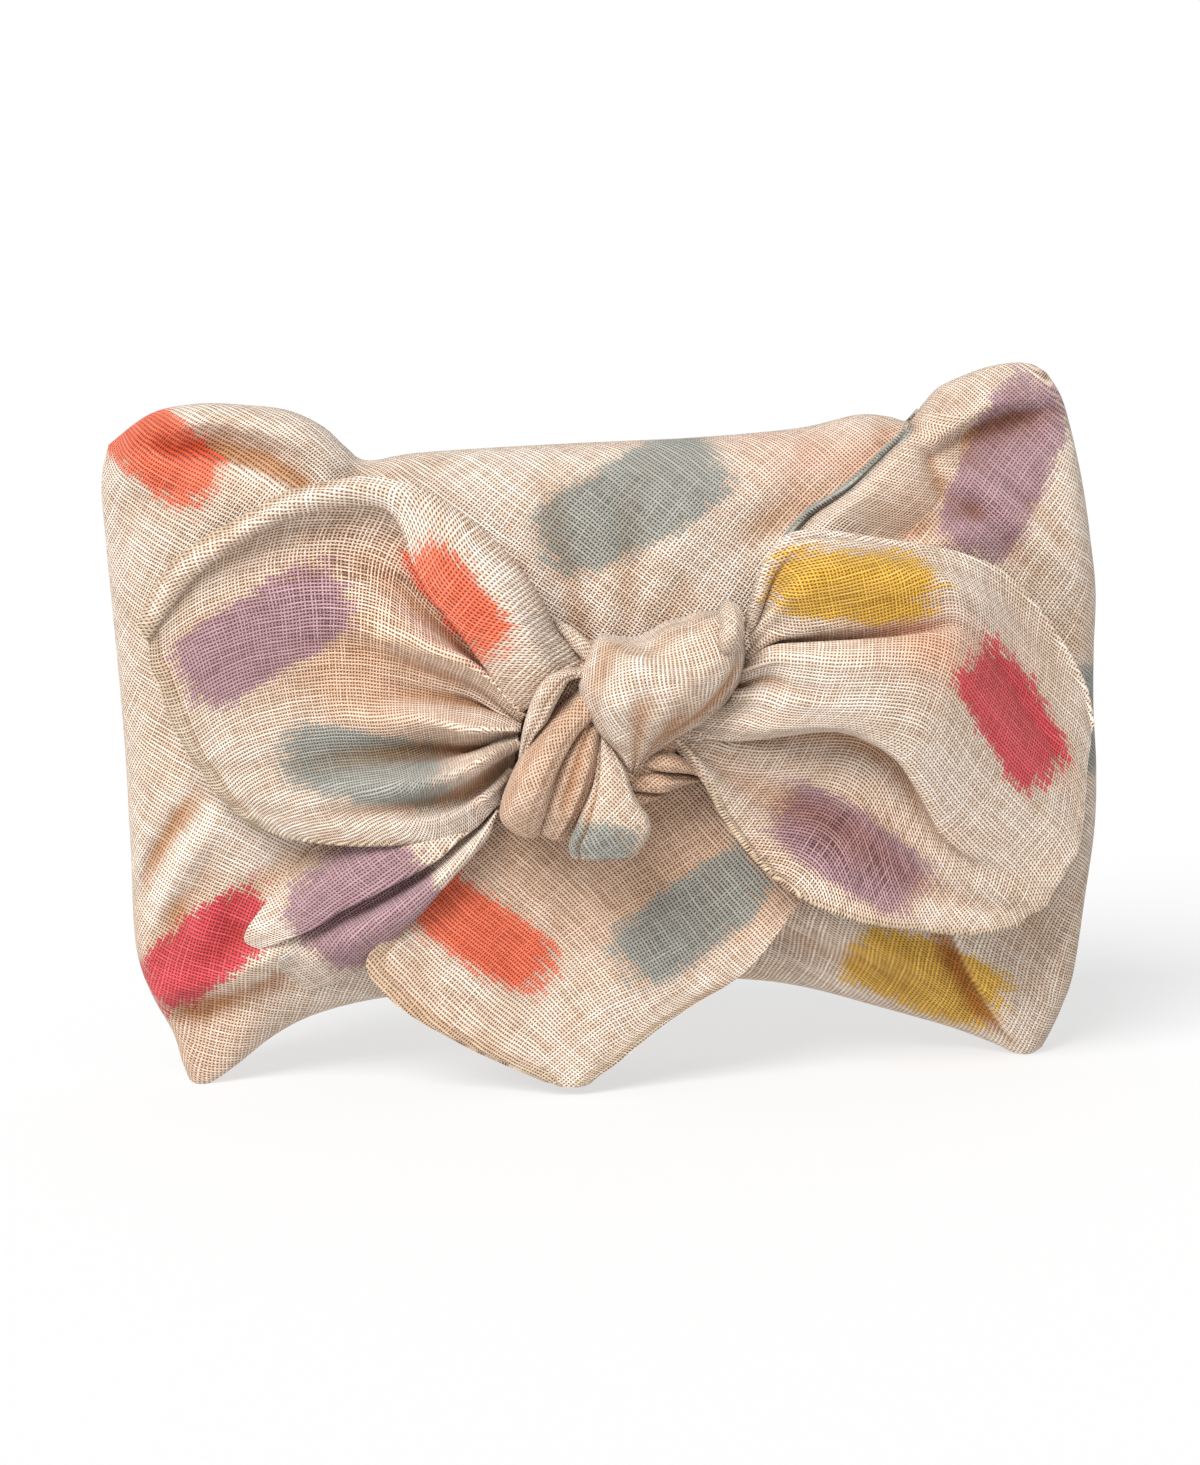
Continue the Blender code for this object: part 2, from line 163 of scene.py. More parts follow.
# %% The tables' rows
Line = namedtuple("Line", "name points")  # points are (x, z, y) in mm, from the knot outward
Ring = namedtuple("Ring", "x0 z0 x1 z1 y front back")  # a gathered strand's two sides, and its swell
FINE = 600  # steps along a curve when its length is measured
TUCKED = 0.3  # how far back toward the next line a rolled edge goes
NEAR, DEEP = 6, 1.6  # grid steps to a neighbour, and the mm of a full hollow
WAVES = 9  # cosines in one set of gathers


# %% Smooth curves through rows
def smooth_rows(rows, at):
    """Rows read at the shares `at` of the way: between rows, the Catmull-Rom cubic of the nearest four."""
    table = np.asarray(rows, float)
    place = np.clip(at, 0, 1) * (len(table) - 1)
    low = np.minimum(place.astype(int), len(table) - 2)
    part = (place - low).reshape((-1,) + (1,) * (table.ndim - 1))
    before, first, second, after = (table[np.clip(low + step, 0, len(table) - 1)] for step in (-1, 0, 1, 2))
    return first + 0.5 * part * (second - before + part * (
        2 * before - 5 * first + 4 * second - after + part * (3 * (first - second) + after - before)))


def even_rows(rows, at):
    """The same, with the shares measured by length along the curve."""
    fine = np.linspace(0, 1, FINE)
    line = smooth_rows(rows, fine)
    length = np.append(0, np.cumsum(np.linalg.norm(np.diff(line[:, :2], axis=0), axis=1)))
    return smooth_rows(rows, np.interp(np.asarray(at) * length[-1], length, fine))


# %% A surface across many lines
def loft(lines, rows, per_gap, turned=0.0):
    """A grid of points [across, along]: each line made even along its length, then a smooth curve across.

    turned adds one more line behind each outer one, that far back in mm, so the edge of the cloth rolls away.
    """
    along = np.linspace(0, 1, rows)
    table = np.stack([even_rows(line.points, along) for line in lines])
    if turned:
        ends = [table[0] + TUCKED * (table[1] - table[0]), table[-1] + TUCKED * (table[-2] - table[-1])]
        for end, edge in zip(ends, (table[0], table[-1])):
            end[:, 2] = edge[:, 2] + turned
        table = np.concatenate([ends[0][None], table, ends[1][None]])
    return smooth_rows(table, np.linspace(0, 1, (len(table) - 1) * per_gap + 1))[..., [0, 2, 1]]


def shares(grid):
    """Each point's share of the way across the grid, and along it."""
    return np.meshgrid(*(np.linspace(0, 1, count) for count in grid.shape[:2]), indexing="ij")


def lengths(grid, axis):
    """Length run so far along one way of a grid, from its first edge."""
    step = np.linalg.norm(np.diff(grid, axis=axis), axis=2)
    return np.concatenate([np.zeros_like(step.take([0], axis)), np.cumsum(step, axis)], axis)


def facing(grid):
    """The unit normals of a grid: the cross product of its two slopes."""
    normal = np.cross(np.gradient(grid, axis=0), np.gradient(grid, axis=1))
    return normal / np.maximum(np.linalg.norm(normal, axis=2, keepdims=True), 1e-9)


def hollows(grid):
    """-1 on a ridge to 1 in a hollow: how far a point lies behind its neighbours' mean."""
    mean = grid[..., 1].copy()
    for axis in (0, 1):
        rim = [(NEAR, NEAR) if axis == way else (0, 0) for way in (0, 1)]
        run = np.cumsum(np.pad(mean, rim, mode="edge"), axis)
        count = mean.shape[axis]
        first = np.concatenate([np.zeros_like(run.take([0], axis)), run.take(range(count - 1), axis)], axis)
        mean = (run.take(range(2 * NEAR, 2 * NEAR + count), axis) - first) / (2 * NEAR + 1)
    return np.clip((grid[..., 1] - mean) / DEEP, -1, 1)


# %% Small gathers
def gathers(u, v, seed, low, high, drift):
    """Soft, uneven ridges in about -1 to 1: a sum of cosines across v whose phase drifts along u."""
    pick = np.random.default_rng(seed)
    total = 0
    for cycles in pick.uniform(low, high, WAVES):
        total = total + pick.uniform(0.5, 1) * np.cos(
            2 * np.pi * (cycles * v + pick.uniform(-drift, drift) * u + pick.uniform())
            + pick.uniform(0.5, 1.5) * np.sin(2 * np.pi * (pick.uniform(0.5, 1.6) * u + pick.uniform())))
    return total / np.sqrt(WAVES)


# %% Meshes
SHARP = np.radians(55)  # two faces that meet at more than this are shaded as an edge


def back_to_back(front, back):
    """One closed mesh of two like grids that lie back to back, with a strip of faces round their edges."""
    size = front.shape[0] * front.shape[1]
    index = np.arange(size).reshape(front.shape[:2])
    quads = np.stack([index[:-1, :-1], index[:-1, 1:], index[1:, 1:], index[1:, :-1]], -1).reshape(-1, 4)
    edge = np.concatenate([index[0], index[1:, -1], index[-1, -2::-1], index[-2:0:-1, 0]])
    after = np.roll(edge, -1)
    strip = np.column_stack([after, edge, size + edge, size + after])
    points = np.vstack([front.reshape(-1, 3), back.reshape(-1, 3)])
    return points, np.vstack([quads, size + quads[:, ::-1], strip]).tolist()


def add_mesh(name, points, faces, fields, finish):
    """An object from points in mm, its faces turned outward, with named values on its points."""
    mesh = bpy.data.meshes.new(name)
    mesh.from_pydata(((points + TO_FRAME) * MM).tolist(), [], faces)
    built = bmesh.new()
    built.from_mesh(mesh)
    bmesh.ops.recalc_face_normals(built, faces=built.faces)
    built.to_mesh(mesh)
    built.free()
    for field, values in fields.items():
        kind, key = ("FLOAT_VECTOR", "vector") if values.ndim == 2 else ("FLOAT", "value")
        layer = mesh.attributes.new(field, kind, "POINT")
        layer.data.foreach_set(key, np.ascontiguousarray(values, np.float32).ravel())
    mesh.shade_smooth()
    mesh.set_sharp_from_angle(angle=SHARP)
    mesh.materials.append(finish)
    piece = bpy.data.objects.new(name, mesh)
    bpy.context.scene.collection.objects.link(piece)
    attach(piece, "root")
    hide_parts(CLOTH)
    return piece


# %% [markdown]
# ## Linen
# The cloth is a plain weave of hand-spun linen or ramie: thick and thin threads about a millimetre apart,
# with slubs, and small holes between them through which the shade behind shows brown; that brown is painted
# shade between the threads, as the holes are not cut. An image could carry that, but here the threads are
# worked out from each point's place on the flat cloth in millimetres, which every piece carries as cloth_mm,
# so they bend with the folds. A sine runs across each set of threads. Its size says how high the thread
# stands, and the sign of the two sines' product says which set is on top.

# %% Thread sizes and colours
PITCH = 0.90  # mm from thread to thread; real ones lie 0.8 to 1.1 apart
SLUB_RUN = 16.0  # mm: how long one thick or thin stretch of thread runs
WANDER = (1.3, 1.3, 0)  # mm that threads stray from straight
THREAD_HEIGHT = 0.7 * MM
BLEED = 5.0  # mm: how far a dye creeps along a thread past its bar
LINEN, THIN_THREAD, TAN, HEM_TINT = "#DBD2C7", "#E2CAB2", "#C89D70", "#BCA88C"
HOLLOW_SHADE_TINT = "#D9B491"  # painted shade: the warm, darker tint put into hollows and creases, for the light that bounces about in them
GAP, HOLE_SHADE = "#B97E4B", "#663B20"  # painted between the threads: the next layer's tint, or deep shade
# Each dye: its colour, how strongly it takes, and how soft its edge is in mm.
Dye = namedtuple("Dye", "name colour strength soft")
DYES = [
    # tan is painted shade as well as the linen's own uneven tone: its soft bars lie mostly where the cloth is
    # in shadow
    Dye("tan", "#CD976A", 0.80, 55.0),
    Dye("peach", "#DC8652", 0.92, 34.0),
    Dye("coral", "#E0623F", 0.98, 2.5),
    Dye("crimson", "#C9303F", 0.97, 1.6),
    Dye("yellow", "#CFA02A", 0.97, 1.6),
    Dye("mauve", "#A07C84", 0.95, 1.6),
    Dye("grey", "#93958D", 0.97, 2.0),
]
REACH = 60.0  # mm of distance that a dye's 0 to 1 value spans
RGBA = {"out": "Result", "data_type": "RGBA"}  # a Mix node set to colours


# %% The linen's nodes, in which a MapRange reads a value, the span it comes from and the span it goes to
def woven_linen():
    """Matt, slubby plain-weave linen, natural with brushed-on dyes.

    The eye gets white, uneven threads over gaps of painted tan and brown shade, a little fuzz at grazing
    angles, and no shine; painted shade warms the hollows and painted highlight lightens the ridges and the
    open weave.
    """
    material = bpy.data.materials.new("woven_linen_plain_weave")
    material.use_nodes = True
    tree = material.node_tree
    shader = tree.nodes["Principled BSDF"]
    place = add(tree, "Attribute", out="Vector", attribute_name="cloth_mm")
    drift = add(tree, "TexNoise", {"Vector": place, "Scale": 0.07, "Detail": 2.0}, out="Color")
    place = add(tree, "VectorMath", (drift, WANDER, place), operation="MULTIPLY_ADD")

    # a sine's hump for each thread: wave is below 0 on every second one, size is the hump's height
    thread = add(tree, "VectorMath", (place, (1 / PITCH, 1 / PITCH, 0)), operation="MULTIPLY")
    turned = add(tree, "VectorMath", {0: thread, "Scale": np.pi}, operation="SCALE")
    wave = add(tree, "VectorMath", {0: turned}, operation="SINE")
    size = add(tree, "VectorMath", {0: wave}, operation="ABSOLUTE")
    wave_x, wave_y = (add(tree, "SeparateXYZ", {0: wave}, out=i) for i in (0, 1))
    sizes = [add(tree, "SeparateXYZ", {0: size}, out=i) for i in (0, 1)]
    crossing = add(tree, "Math", (wave_x, wave_y), operation="MULTIPLY")

    # how loosely the threads lie: in patches, and where a fold opens or a knot tightens them
    cloud = add(tree, "TexNoise", {"Vector": place, "Scale": 0.03, "Detail": 3.0})
    loose = add(tree, "Attribute", out="Fac", attribute_name="open")
    loose = add(tree, "Math", (cloud, 0.9, loose), operation="MULTIPLY_ADD")
    lean = add(tree, "MapRange", (loose, 0.3, 1.2, 0.82, 0.55))

    # thick and thin stretches: each thread, by its number, reads its own line of a noise; the threads that
    # run along a piece lie a little proud of those across it, as the ribs on the real cloth do
    number = add(tree, "VectorMath", {0: thread}, operation="FLOOR")
    weights, levels = [], []
    for way in (0, 1):
        step, run = [0.0, 0.0, 5.0 * way], [0.0, 0.0, 0.0]
        step[way], run[1 - way] = 2.3, 1 / SLUB_RUN
        drawn = add(tree, "VectorMath", (place, run), operation="MULTIPLY")
        drawn = add(tree, "VectorMath", (number, step, drawn), operation="MULTIPLY_ADD")
        slub = add(tree, "TexNoise", {"Vector": drawn, "Scale": 1.0, "Detail": 2.0, "Roughness": 0.65})
        weights.append(slub)
        weight = add(tree, "MapRange", (slub, 0.30, 0.70, lean, 1.14), clamp=False)
        over = add(tree, "MapRange", (crossing, -0.3, 0.3, (0.72, 1.06)[way], (0.98, 0.88)[way]))
        weight = add(tree, "Math", (weight, over), operation="MULTIPLY")
        levels.append(add(tree, "Math", (sizes[way], weight), operation="MULTIPLY"))
    level = add(tree, "Math", levels, operation="MAXIMUM")
    on_top = add(tree, "Math", levels, operation="GREATER_THAN")
    tone = add(tree, "Mix", {"Factor": on_top, "A": weights[1], "B": weights[0]})

    # the natural cloth: cream where a thread is thick, peach where it is thin (painted: the warm layer below
    # showing through), tanner in patches, greyer at the hem; the tan in the cloth's hollows is painted shade,
    # added below
    thick = add(tree, "MapRange", (tone, 0.35, 0.65))
    colour = add(tree, "Mix", {"Factor": thick, "A": linear(THIN_THREAD), "B": linear(LINEN)}, **RGBA)
    patch = add(tree, "MapRange", (cloud, 0.42, 0.75, 0, 0.4))
    colour = add(tree, "Mix", {"Factor": patch, "A": colour, "B": linear(TAN)}, **RGBA)
    hem = add(tree, "Attribute", out="Fac", attribute_name="hem")
    colour = add(tree, "Mix", {"Factor": hem, "A": colour, "B": linear(HEM_TINT)}, **RGBA)

    # dyes creep along the threads, so a bar's edge is brushed and not cut; thick white threads take less
    creep = add(tree, "MapRange", (tone, 0.3, 0.7, -BLEED / REACH / 2, BLEED / REACH / 2))
    resist = add(tree, "MapRange", (level, 0.75, 1.25, 1.0, 0.86))
    for dye in DYES:
        amount = add(tree, "Attribute", out="Fac", attribute_name=dye.name)
        amount = add(tree, "Math", (amount, creep), operation="ADD")
        take = add(tree, "MapRange", (amount, 0.5, 0.5 + dye.soft / REACH, 0, dye.strength),
                   interpolation_type="SMOOTHSTEP")
        take = add(tree, "Math", (take, resist), operation="MULTIPLY")
        colour = add(tree, "Mix", {"Factor": take, "A": colour, "B": linear(dye.colour)}, **RGBA)

    # painted shade between the threads: tan where the weave is close, brown holes where it is open
    edge = add(tree, "MapRange", (loose, 0.3, 1.3, 0.73, 0.95))
    gap = add(tree, "MapRange", (level, edge, 0.25, 0, 1.0), interpolation_type="SMOOTHSTEP")
    gap = add(tree, "Math", (gap, 0.97), operation="MULTIPLY")
    under = add(tree, "Mix", {"Factor": loose, "A": linear(GAP), "B": linear(HOLE_SHADE)}, **RGBA)
    shade = add(tree, "Mix", {"Factor": gap, "A": (1.10, 1.10, 1.10, 1.0), "B": under}, **RGBA)
    # painted shade and painted highlight: hollows get a warmer, darker tint and ridges a lighter one, by how
    # far the cloth lies behind its neighbours
    hollow = add(tree, "Attribute", out="Fac", attribute_name="hollow")
    hollow_shade = add(tree, "Mix", {"Factor": hollow, "A": (1.0, 1.0, 1.0, 1.0), "B": linear(HOLLOW_SHADE_TINT)}, **RGBA)
    light = add(tree, "MapRange", (tone, 0.35, 0.65, 0.75, 1.21))
    # painted highlight: the threads of the open weave are lightened
    open_weave_highlight = add(tree, "MapRange", (loose, 0.5, 1.3, 1.0, 1.30))
    crest = add(tree, "MapRange", (hollow, -0.7, 0.0, 1.12, 1.0))
    for more in (light, open_weave_highlight, crest):  # thick threads are lighter in tone; painted highlight on the threads of the open weave and on ridges
        colour = add(tree, "VectorMath", {0: colour, "Scale": more}, operation="SCALE")
    for tint in (shade, hollow_shade):
        colour = add(tree, "VectorMath", (colour, tint), operation="MULTIPLY")
    tree.links.new(colour, shader.inputs["Base Color"])

    bump = add(tree, "Bump", {"Height": level, "Strength": 1.0, "Distance": THREAD_HEIGHT}, out="Normal")
    tree.links.new(bump, shader.inputs["Normal"])
    for name, value in (("Roughness", 0.88), ("Specular IOR Level", 0.25), ("Sheen Weight", 0.15),
                        ("Sheen Roughness", 0.5)):
        shader.inputs[name].default_value = value
    return material


linen = woven_linen()
print("linen:", len(linen.node_tree.nodes), "nodes")

# %% [markdown]
# ## Dyed bars
# The cloth is dyed here with a plain design of its own: short, broad bars of one colour each, brushed on at
# slants and well apart, over faint peach washes and soft tan ones. The tan is partly the linen's own uneven
# tone and partly painted shade where the cloth lies in shadow. Each piece of cloth gets, for each dye, how
# far inside the nearest bar every point lies; the linen turns that distance into a brushed edge.

# %% The bars, in mm on each piece as it faces the viewer
Bar = namedtuple("Bar", "dye x z wide tall turn")
ROUND_THE_SIDE = [  # these lie across the rim, so both faces carry them
    Bar("grey", 124, 88, 30, 24, 75), Bar("coral", -112, 168, 44, 21, -40),
]
# The tan bars stand partly for the linen's uneven tone and partly for painted shade: they lie where the cloth
# is in shadow, under the ears' rolls, on the flap below the knot, on the cap and in the leaves' hollows.
BARS = {
    "parcel": ROUND_THE_SIDE + [
        Bar("grey", 10, 149, 54, 24, 24), Bar("mauve", 106, 154, 50, 24, 62),
        Bar("yellow", 82, 23, 46, 21, -24), Bar("crimson", -104, 37, 44, 20, 38),
        Bar("peach", 60, 158, 90, 32, 0), Bar("tan", 82, 142, 104, 62, 38),
        Bar("tan", -90, 160, 60, 36, -20), Bar("tan", -124, 0, 120, 80, 60),
    ],
    "parcel_back": ROUND_THE_SIDE + [
        Bar("mauve", -60, 124, 54, 24, 24), Bar("yellow", 22, 138, 52, 24, -18),
        Bar("grey", -14, 82, 54, 24, 30), Bar("crimson", 74, 92, 48, 22, -30),
        Bar("coral", -72, 42, 50, 22, -20), Bar("mauve", 50, 40, 52, 24, 16),
        Bar("peach", -10, 106, 100, 34, 12),
    ],
    "left_leaf": [
        Bar("mauve", -84, 120, 50, 23, 28), Bar("grey", -60, 86, 46, 19, -10),
        Bar("coral", -34, 129, 36, 17, -54), Bar("tan", -60, 110, 112, 74, -25),
    ],
    "right_leaf": [
        Bar("yellow", 64, 129, 44, 19, -6), Bar("crimson", 104, 93, 42, 19, -58),
        Bar("mauve", 62, 61, 46, 20, -36), Bar("peach", 86, 113, 80, 34, -30),
        Bar("tan", 60, 66, 110, 60, -30),
    ],
    "flap": [
        Bar("coral", -32, 42, 44, 20, -38), Bar("grey", 22, 44, 46, 21, 34),
        Bar("tan", 20, 82, 190, 130, 0), Bar("tan", -52, 16, 130, 60, -45),
    ],
    "pleats": [Bar("mauve", -62, 51, 40, 30, 38)],
    "tongue": [Bar("grey", -2, 68, 24, 12, -10)],
    "ear_hem": [Bar("tan", 82, 142, 104, 62, 38)],
    "cap": [Bar("tan", 20, 100, 40, 24, 30)],
}
# Painted shade: the strands that lie deep in the knot are tan all over.
for strand in ("third_band", "second_band", "upper_pleat", "lower_pleat", "last_pleat", "knot_core"):
    BARS[strand] = [Bar("tan", 0, 85, 130, 130, 0)]
print("bars:", sum(bar.dye not in ("tan", "peach") for bars in BARS.values() for bar in bars))


def dyed(points, bars):
    """For each dye, 0.5 at a bar's edge and more inside it: one minus the rounded radius, in half widths.

    The rounded radius is the fourth root of the two ways' fourth powers added up: it gives soft corners.
    """
    fields = {}
    for bar in bars:
        turn = np.radians(bar.turn)
        right, up = points[:, 0] - bar.x, points[:, 2] - bar.z
        along = (right * np.cos(turn) + up * np.sin(turn)) / (bar.wide / 2)
        aside = (up * np.cos(turn) - right * np.sin(turn)) / (bar.tall / 2)
        radius = (along ** 4 + aside ** 4) ** 0.25
        inside = np.clip(0.5 + (1 - radius) * min(bar.wide, bar.tall) / 2 / REACH, 0, 1)
        fields[bar.dye] = np.maximum(fields.get(bar.dye, 0), inside)
    return fields


# %% [markdown]
# ## The filled parcel
# The cloth lies taut over something flat, so its face is a low cushion: four rim lines, and between them a
# patch that swells forward and backward. Each face is blended from its four rims (a Coons patch), which
# keeps the puffed upper corners and the two pinched feet. The folds are soft bells laid across bowed lines.
# A simulation could find such folds too, but not these ones in their places.

# %% The parcel's rim and folds, in mm
Rim = namedtuple("Rim", "x z y side")
BOTTOM = [
    Rim(-110.6, 0.8, 0, 9.0), Rim(-108.2, 0.0, 0, 13.1), Rim(-104.6, 0.4, 0, 12.3),
    Rim(-98.3, 4.2, 0, 9.3), Rim(-87.7, 11.6, 0, 4.2),
    Rim(-75.8, 16.9, 0, 2.6), Rim(-57.4, 20.6, 0, 3.4), Rim(-28.6, 22.5, 0, 3.4), Rim(8.1, 23.0, 0, 3.4),
    Rim(34.3, 22.0, 0, 3.4), Rim(51.0, 19.2, 0, 3.4), Rim(70.0, 13.4, 0, 4.8), Rim(88.6, 7.2, 0, 4.2),
    Rim(100.0, 2.8, 0, 9.3), Rim(105.0, 0.5, 0, 12.3), Rim(109.0, 0.0, 0, 13.1), Rim(112.5, 1.2, 0, 9.0),
]
TOP = [
    Rim(-123.5, 167.5, -2, 1.6), Rim(-112.5, 175.0, -2, 1.6), Rim(-100.0, 177.2, -3, 1.6),
    Rim(-88.0, 176.4, -3, 1.6), Rim(-77.0, 174.6, -3, 1.6), Rim(-68.5, 170.2, -2, 1.6),
    Rim(-63.0, 164.7, -1, 1.8), Rim(-57.5, 160.8, 0, 1.8), Rim(-43.8, 162.3, 0, 1.8),
    Rim(-10.2, 163.2, 0, 1.8), Rim(28.5, 163.7, 0, 1.8), Rim(54.3, 165.2, 0, 1.8),
    Rim(69.0, 168.0, 0, 1.8), Rim(77.0, 167.3, 0, 1.8), Rim(82.3, 166.0, 0, 1.8), Rim(86.0, 170.0, 0, 1.8),
    Rim(90.0, 174.0, 1, 1.6), Rim(95.6, 176.6, 1, 1.6), Rim(102.5, 178.8, 2, 1.6), Rim(109.0, 179.8, 2, 1.6),
    Rim(114.2, 179.4, 2, 1.6), Rim(118.2, 177.2, 2, 1.6),
]
LEFT = [
    Rim(-110.6, 0.8, 0, 9.0), Rim(-112.4, 5.4, 0, 6.6), Rim(-114.5, 13.0, 0, 4.2), Rim(-119.0, 22.0, 0, 2.6),
    Rim(-122.5, 32.0, 0, 1.8), Rim(-123.5, 43.0, 0, 1.6), Rim(-123.3, 61.9, 0, 1.6),
    Rim(-123.5, 90.7, 0, 1.6), Rim(-124.5, 116.9, 0, 1.6), Rim(-125.6, 143.0, -1, 1.6),
    Rim(-125.8, 158.0, -2, 1.6), Rim(-123.5, 167.5, -2, 1.6),
]
RIGHT = [
    Rim(112.5, 1.2, 0, 9.0), Rim(115.2, 5.5, 0, 6.6), Rim(118.5, 12.0, 0, 4.2), Rim(121.6, 20.5, 0, 2.6),
    Rim(125.0, 40.0, 0, 1.8), Rim(128.0, 58.0, 1, 1.6), Rim(128.8, 74.0, 1, 1.6), Rim(128.4, 90.0, 1, 1.6),
    Rim(128.9, 105, 2, 1.6), Rim(129.7, 120, 2, 1.6), Rim(128.6, 134, 2, 1.6), Rim(127, 147.5, 2, 1.6),
    Rim(124.7, 160.0, 2, 1.6), Rim(122.0, 170.5, 2, 1.6), Rim(118.2, 177.2, 2, 1.6),
]
FRONT_CROWN, BACK_CROWN, SQUARENESS, LEAST_HALF_DEPTH = 27.0, 25.0, 3.0, 0.8

# A fold's width is how broad it is on the left of its run, lee on the right; depth is below 0 for a trough.
Fold = namedtuple("Fold", "x0 z0 x1 z1 bow depth width lee")
FACE_FOLDS = [
    Fold(-106, 165, -69, 152, 4, -8.0, 8.0, 1.8),  # the tuck under the left ear, sharp below
    Fold(-107, 174, -64, 163, 4, 3.6, 5.0, 4.0),  # and the roll of cloth over it
    Fold(-100, 160, -72, 145, 3, 2.4, 3.0, 10.0),  # the lit cloth that comes up under it
    Fold(-117, 150, -99, 167, 0, -2.0, 6.0, 8.0),
    Fold(-121, 150, -112, 96, -5, -1.6, 5.0, 8.0),
    Fold(88, 157, 122, 167, 3, -6.2, 3.0, 12.0),  # the hollow under the right ear's roll
    Fold(92, 166, 116, 175, 1, 2.2, 6.0, 5.0),
    Fold(90, 154, 118, 130, 2, 2.2, 2.6, 3.0),  # a long narrow ridge from the hem to the right side,
    Fold(83, 153, 112, 126, 2, -1.0, 6.0, 3.0),  # and the trough along it
    Fold(66, 138, 96, 143, -1, -0.7, 7.0, 3.0),
    Fold(68, 133, 102, 140, -1, 2.6, 3.0, 8.0),
    Fold(44, 141, 80, 168, -3, -2.2, 6.0, 3.0),  # pressed down beside the far corner's hem
    Fold(112, 172, 124, 120, 4, 1.6, 6.0, 7.0),
    Fold(60, 168, 40, 140, 3, -1.6, 6.0, 6.0),
    Fold(-24, 78, -106, 26, 6, 3.6, 8.0, 6.0),  # drawn up to the knot at lower left
    Fold(-40, 88, -118, 44, 5, -3.2, 6.0, 8.0),
    Fold(-117, 46, -100, 72, 1, 3.4, 4.5, 4.0),
    Fold(-121, 50, -106, 76, 1, -3.0, 3.0, 4.0),
    Fold(-112, 33, -90, 60, 2, 2.0, 5.0, 5.0),
    Fold(-119, 25, -80, 40, -2, 3.6, 6.0, 2.8),  # runs on from the upper pleat
    Fold(-115, 18, -80, 32, -2, -3.0, 3.0, 5.0),
    Fold(-96, 40, -108, 2, -3, -2.6, 6.0, 5.0),
    Fold(-116, 60, -112, 14, 3, -1.8, 6.0, 7.0),
    Fold(87, 38, 106, 1, -2, -3.8, 1.2, 6.0),  # the tuck above the right foot, and its lit edge
    Fold(89, 38, 108, 2, -2, 3.6, 8.0, 1.2),
    Fold(30, 50, 100, 8, 4, 2.0, 7.0, 6.0),
    Fold(40, 38, 92, 12, 2, -2.0, 5.0, 5.0),
    Fold(118, 74, 112, 16, -3, -1.0, 7.0, 6.0),
    Fold(-30, 128, -52, 160, -3, -1.6, 8.0, 8.0),
    Fold(20, 128, 34, 162, 3, 1.2, 9.0, 9.0),
]
BACK_FOLDS = [
    Fold(-116, 24, -60, 108, -9, 3.0, 12.0, 8.0),  # taut behind, with soft pulls from the corners
    Fold(-104, 8, -26, 70, 9, -2.8, 12.0, 9.0),
    Fold(114, 20, 66, 100, 9, 3.0, 10.0, 12.0),
    Fold(106, 6, 22, 62, -9, -2.6, 9.0, 12.0),
    Fold(-114, 166, -46, 112, 6, 3.0, 9.0, 8.0),
    Fold(-98, 170, -30, 136, -5, -2.6, 7.0, 9.0),
    Fold(-84, 174, -40, 158, 3, -2.0, 5.0, 6.0),
    Fold(114, 170, 56, 112, -6, 3.0, 8.0, 10.0),
    Fold(98, 174, 28, 140, 5, -2.6, 9.0, 7.0),
    Fold(84, 168, 44, 158, -3, -2.0, 6.0, 5.0),
    Fold(-120, 60, -118, 130, 4, -1.8, 8.0, 8.0),
    Fold(122, 50, 122, 120, -4, -1.8, 8.0, 8.0),
    Fold(-40, 26, 52, 32, 6, 1.8, 10.0, 12.0),
]


# %% Folds as heights over a face
def fold_height(x, z, folds):
    """The sum of the folds at (x, z): a bell across each bowed line, with its own width on either side.

    It fades at both ends of the line as the root of a sine.
    """
    height = np.zeros_like(x)
    for fold in folds:
        along = np.array([fold.x1 - fold.x0, fold.z1 - fold.z0], float)
        length = np.hypot(*along)
        along /= length
        step = (x - fold.x0) * along[0] + (z - fold.z0) * along[1]
        share = np.clip(step / length, 0, 1)
        aside = (z - fold.z0) * along[0] - (x - fold.x0) * along[1] - fold.bow * 4 * share * (1 - share)
        width = np.where(aside > 0, fold.width, fold.lee)
        fade = np.sin(np.pi * np.clip(0.12 + 0.8 * share, 0, 1)) ** 0.5
        beyond = (step - share * length) / (1.2 * fold.width)
        height += fold.depth * fade * np.exp(-(aside / width) ** 2 - beyond ** 2)
    return height


# %% The parcel's two faces
ACROSS, UPWARD = 250, 176  # faces each way
KNOT_X, KNOT_Z = 2.0, 98.0  # mm: where the knot draws the cloth together,
DRAWN_REACH, DRAWN_HEIGHT = 75, 0.8  # how far its gathers reach, and how high they stand


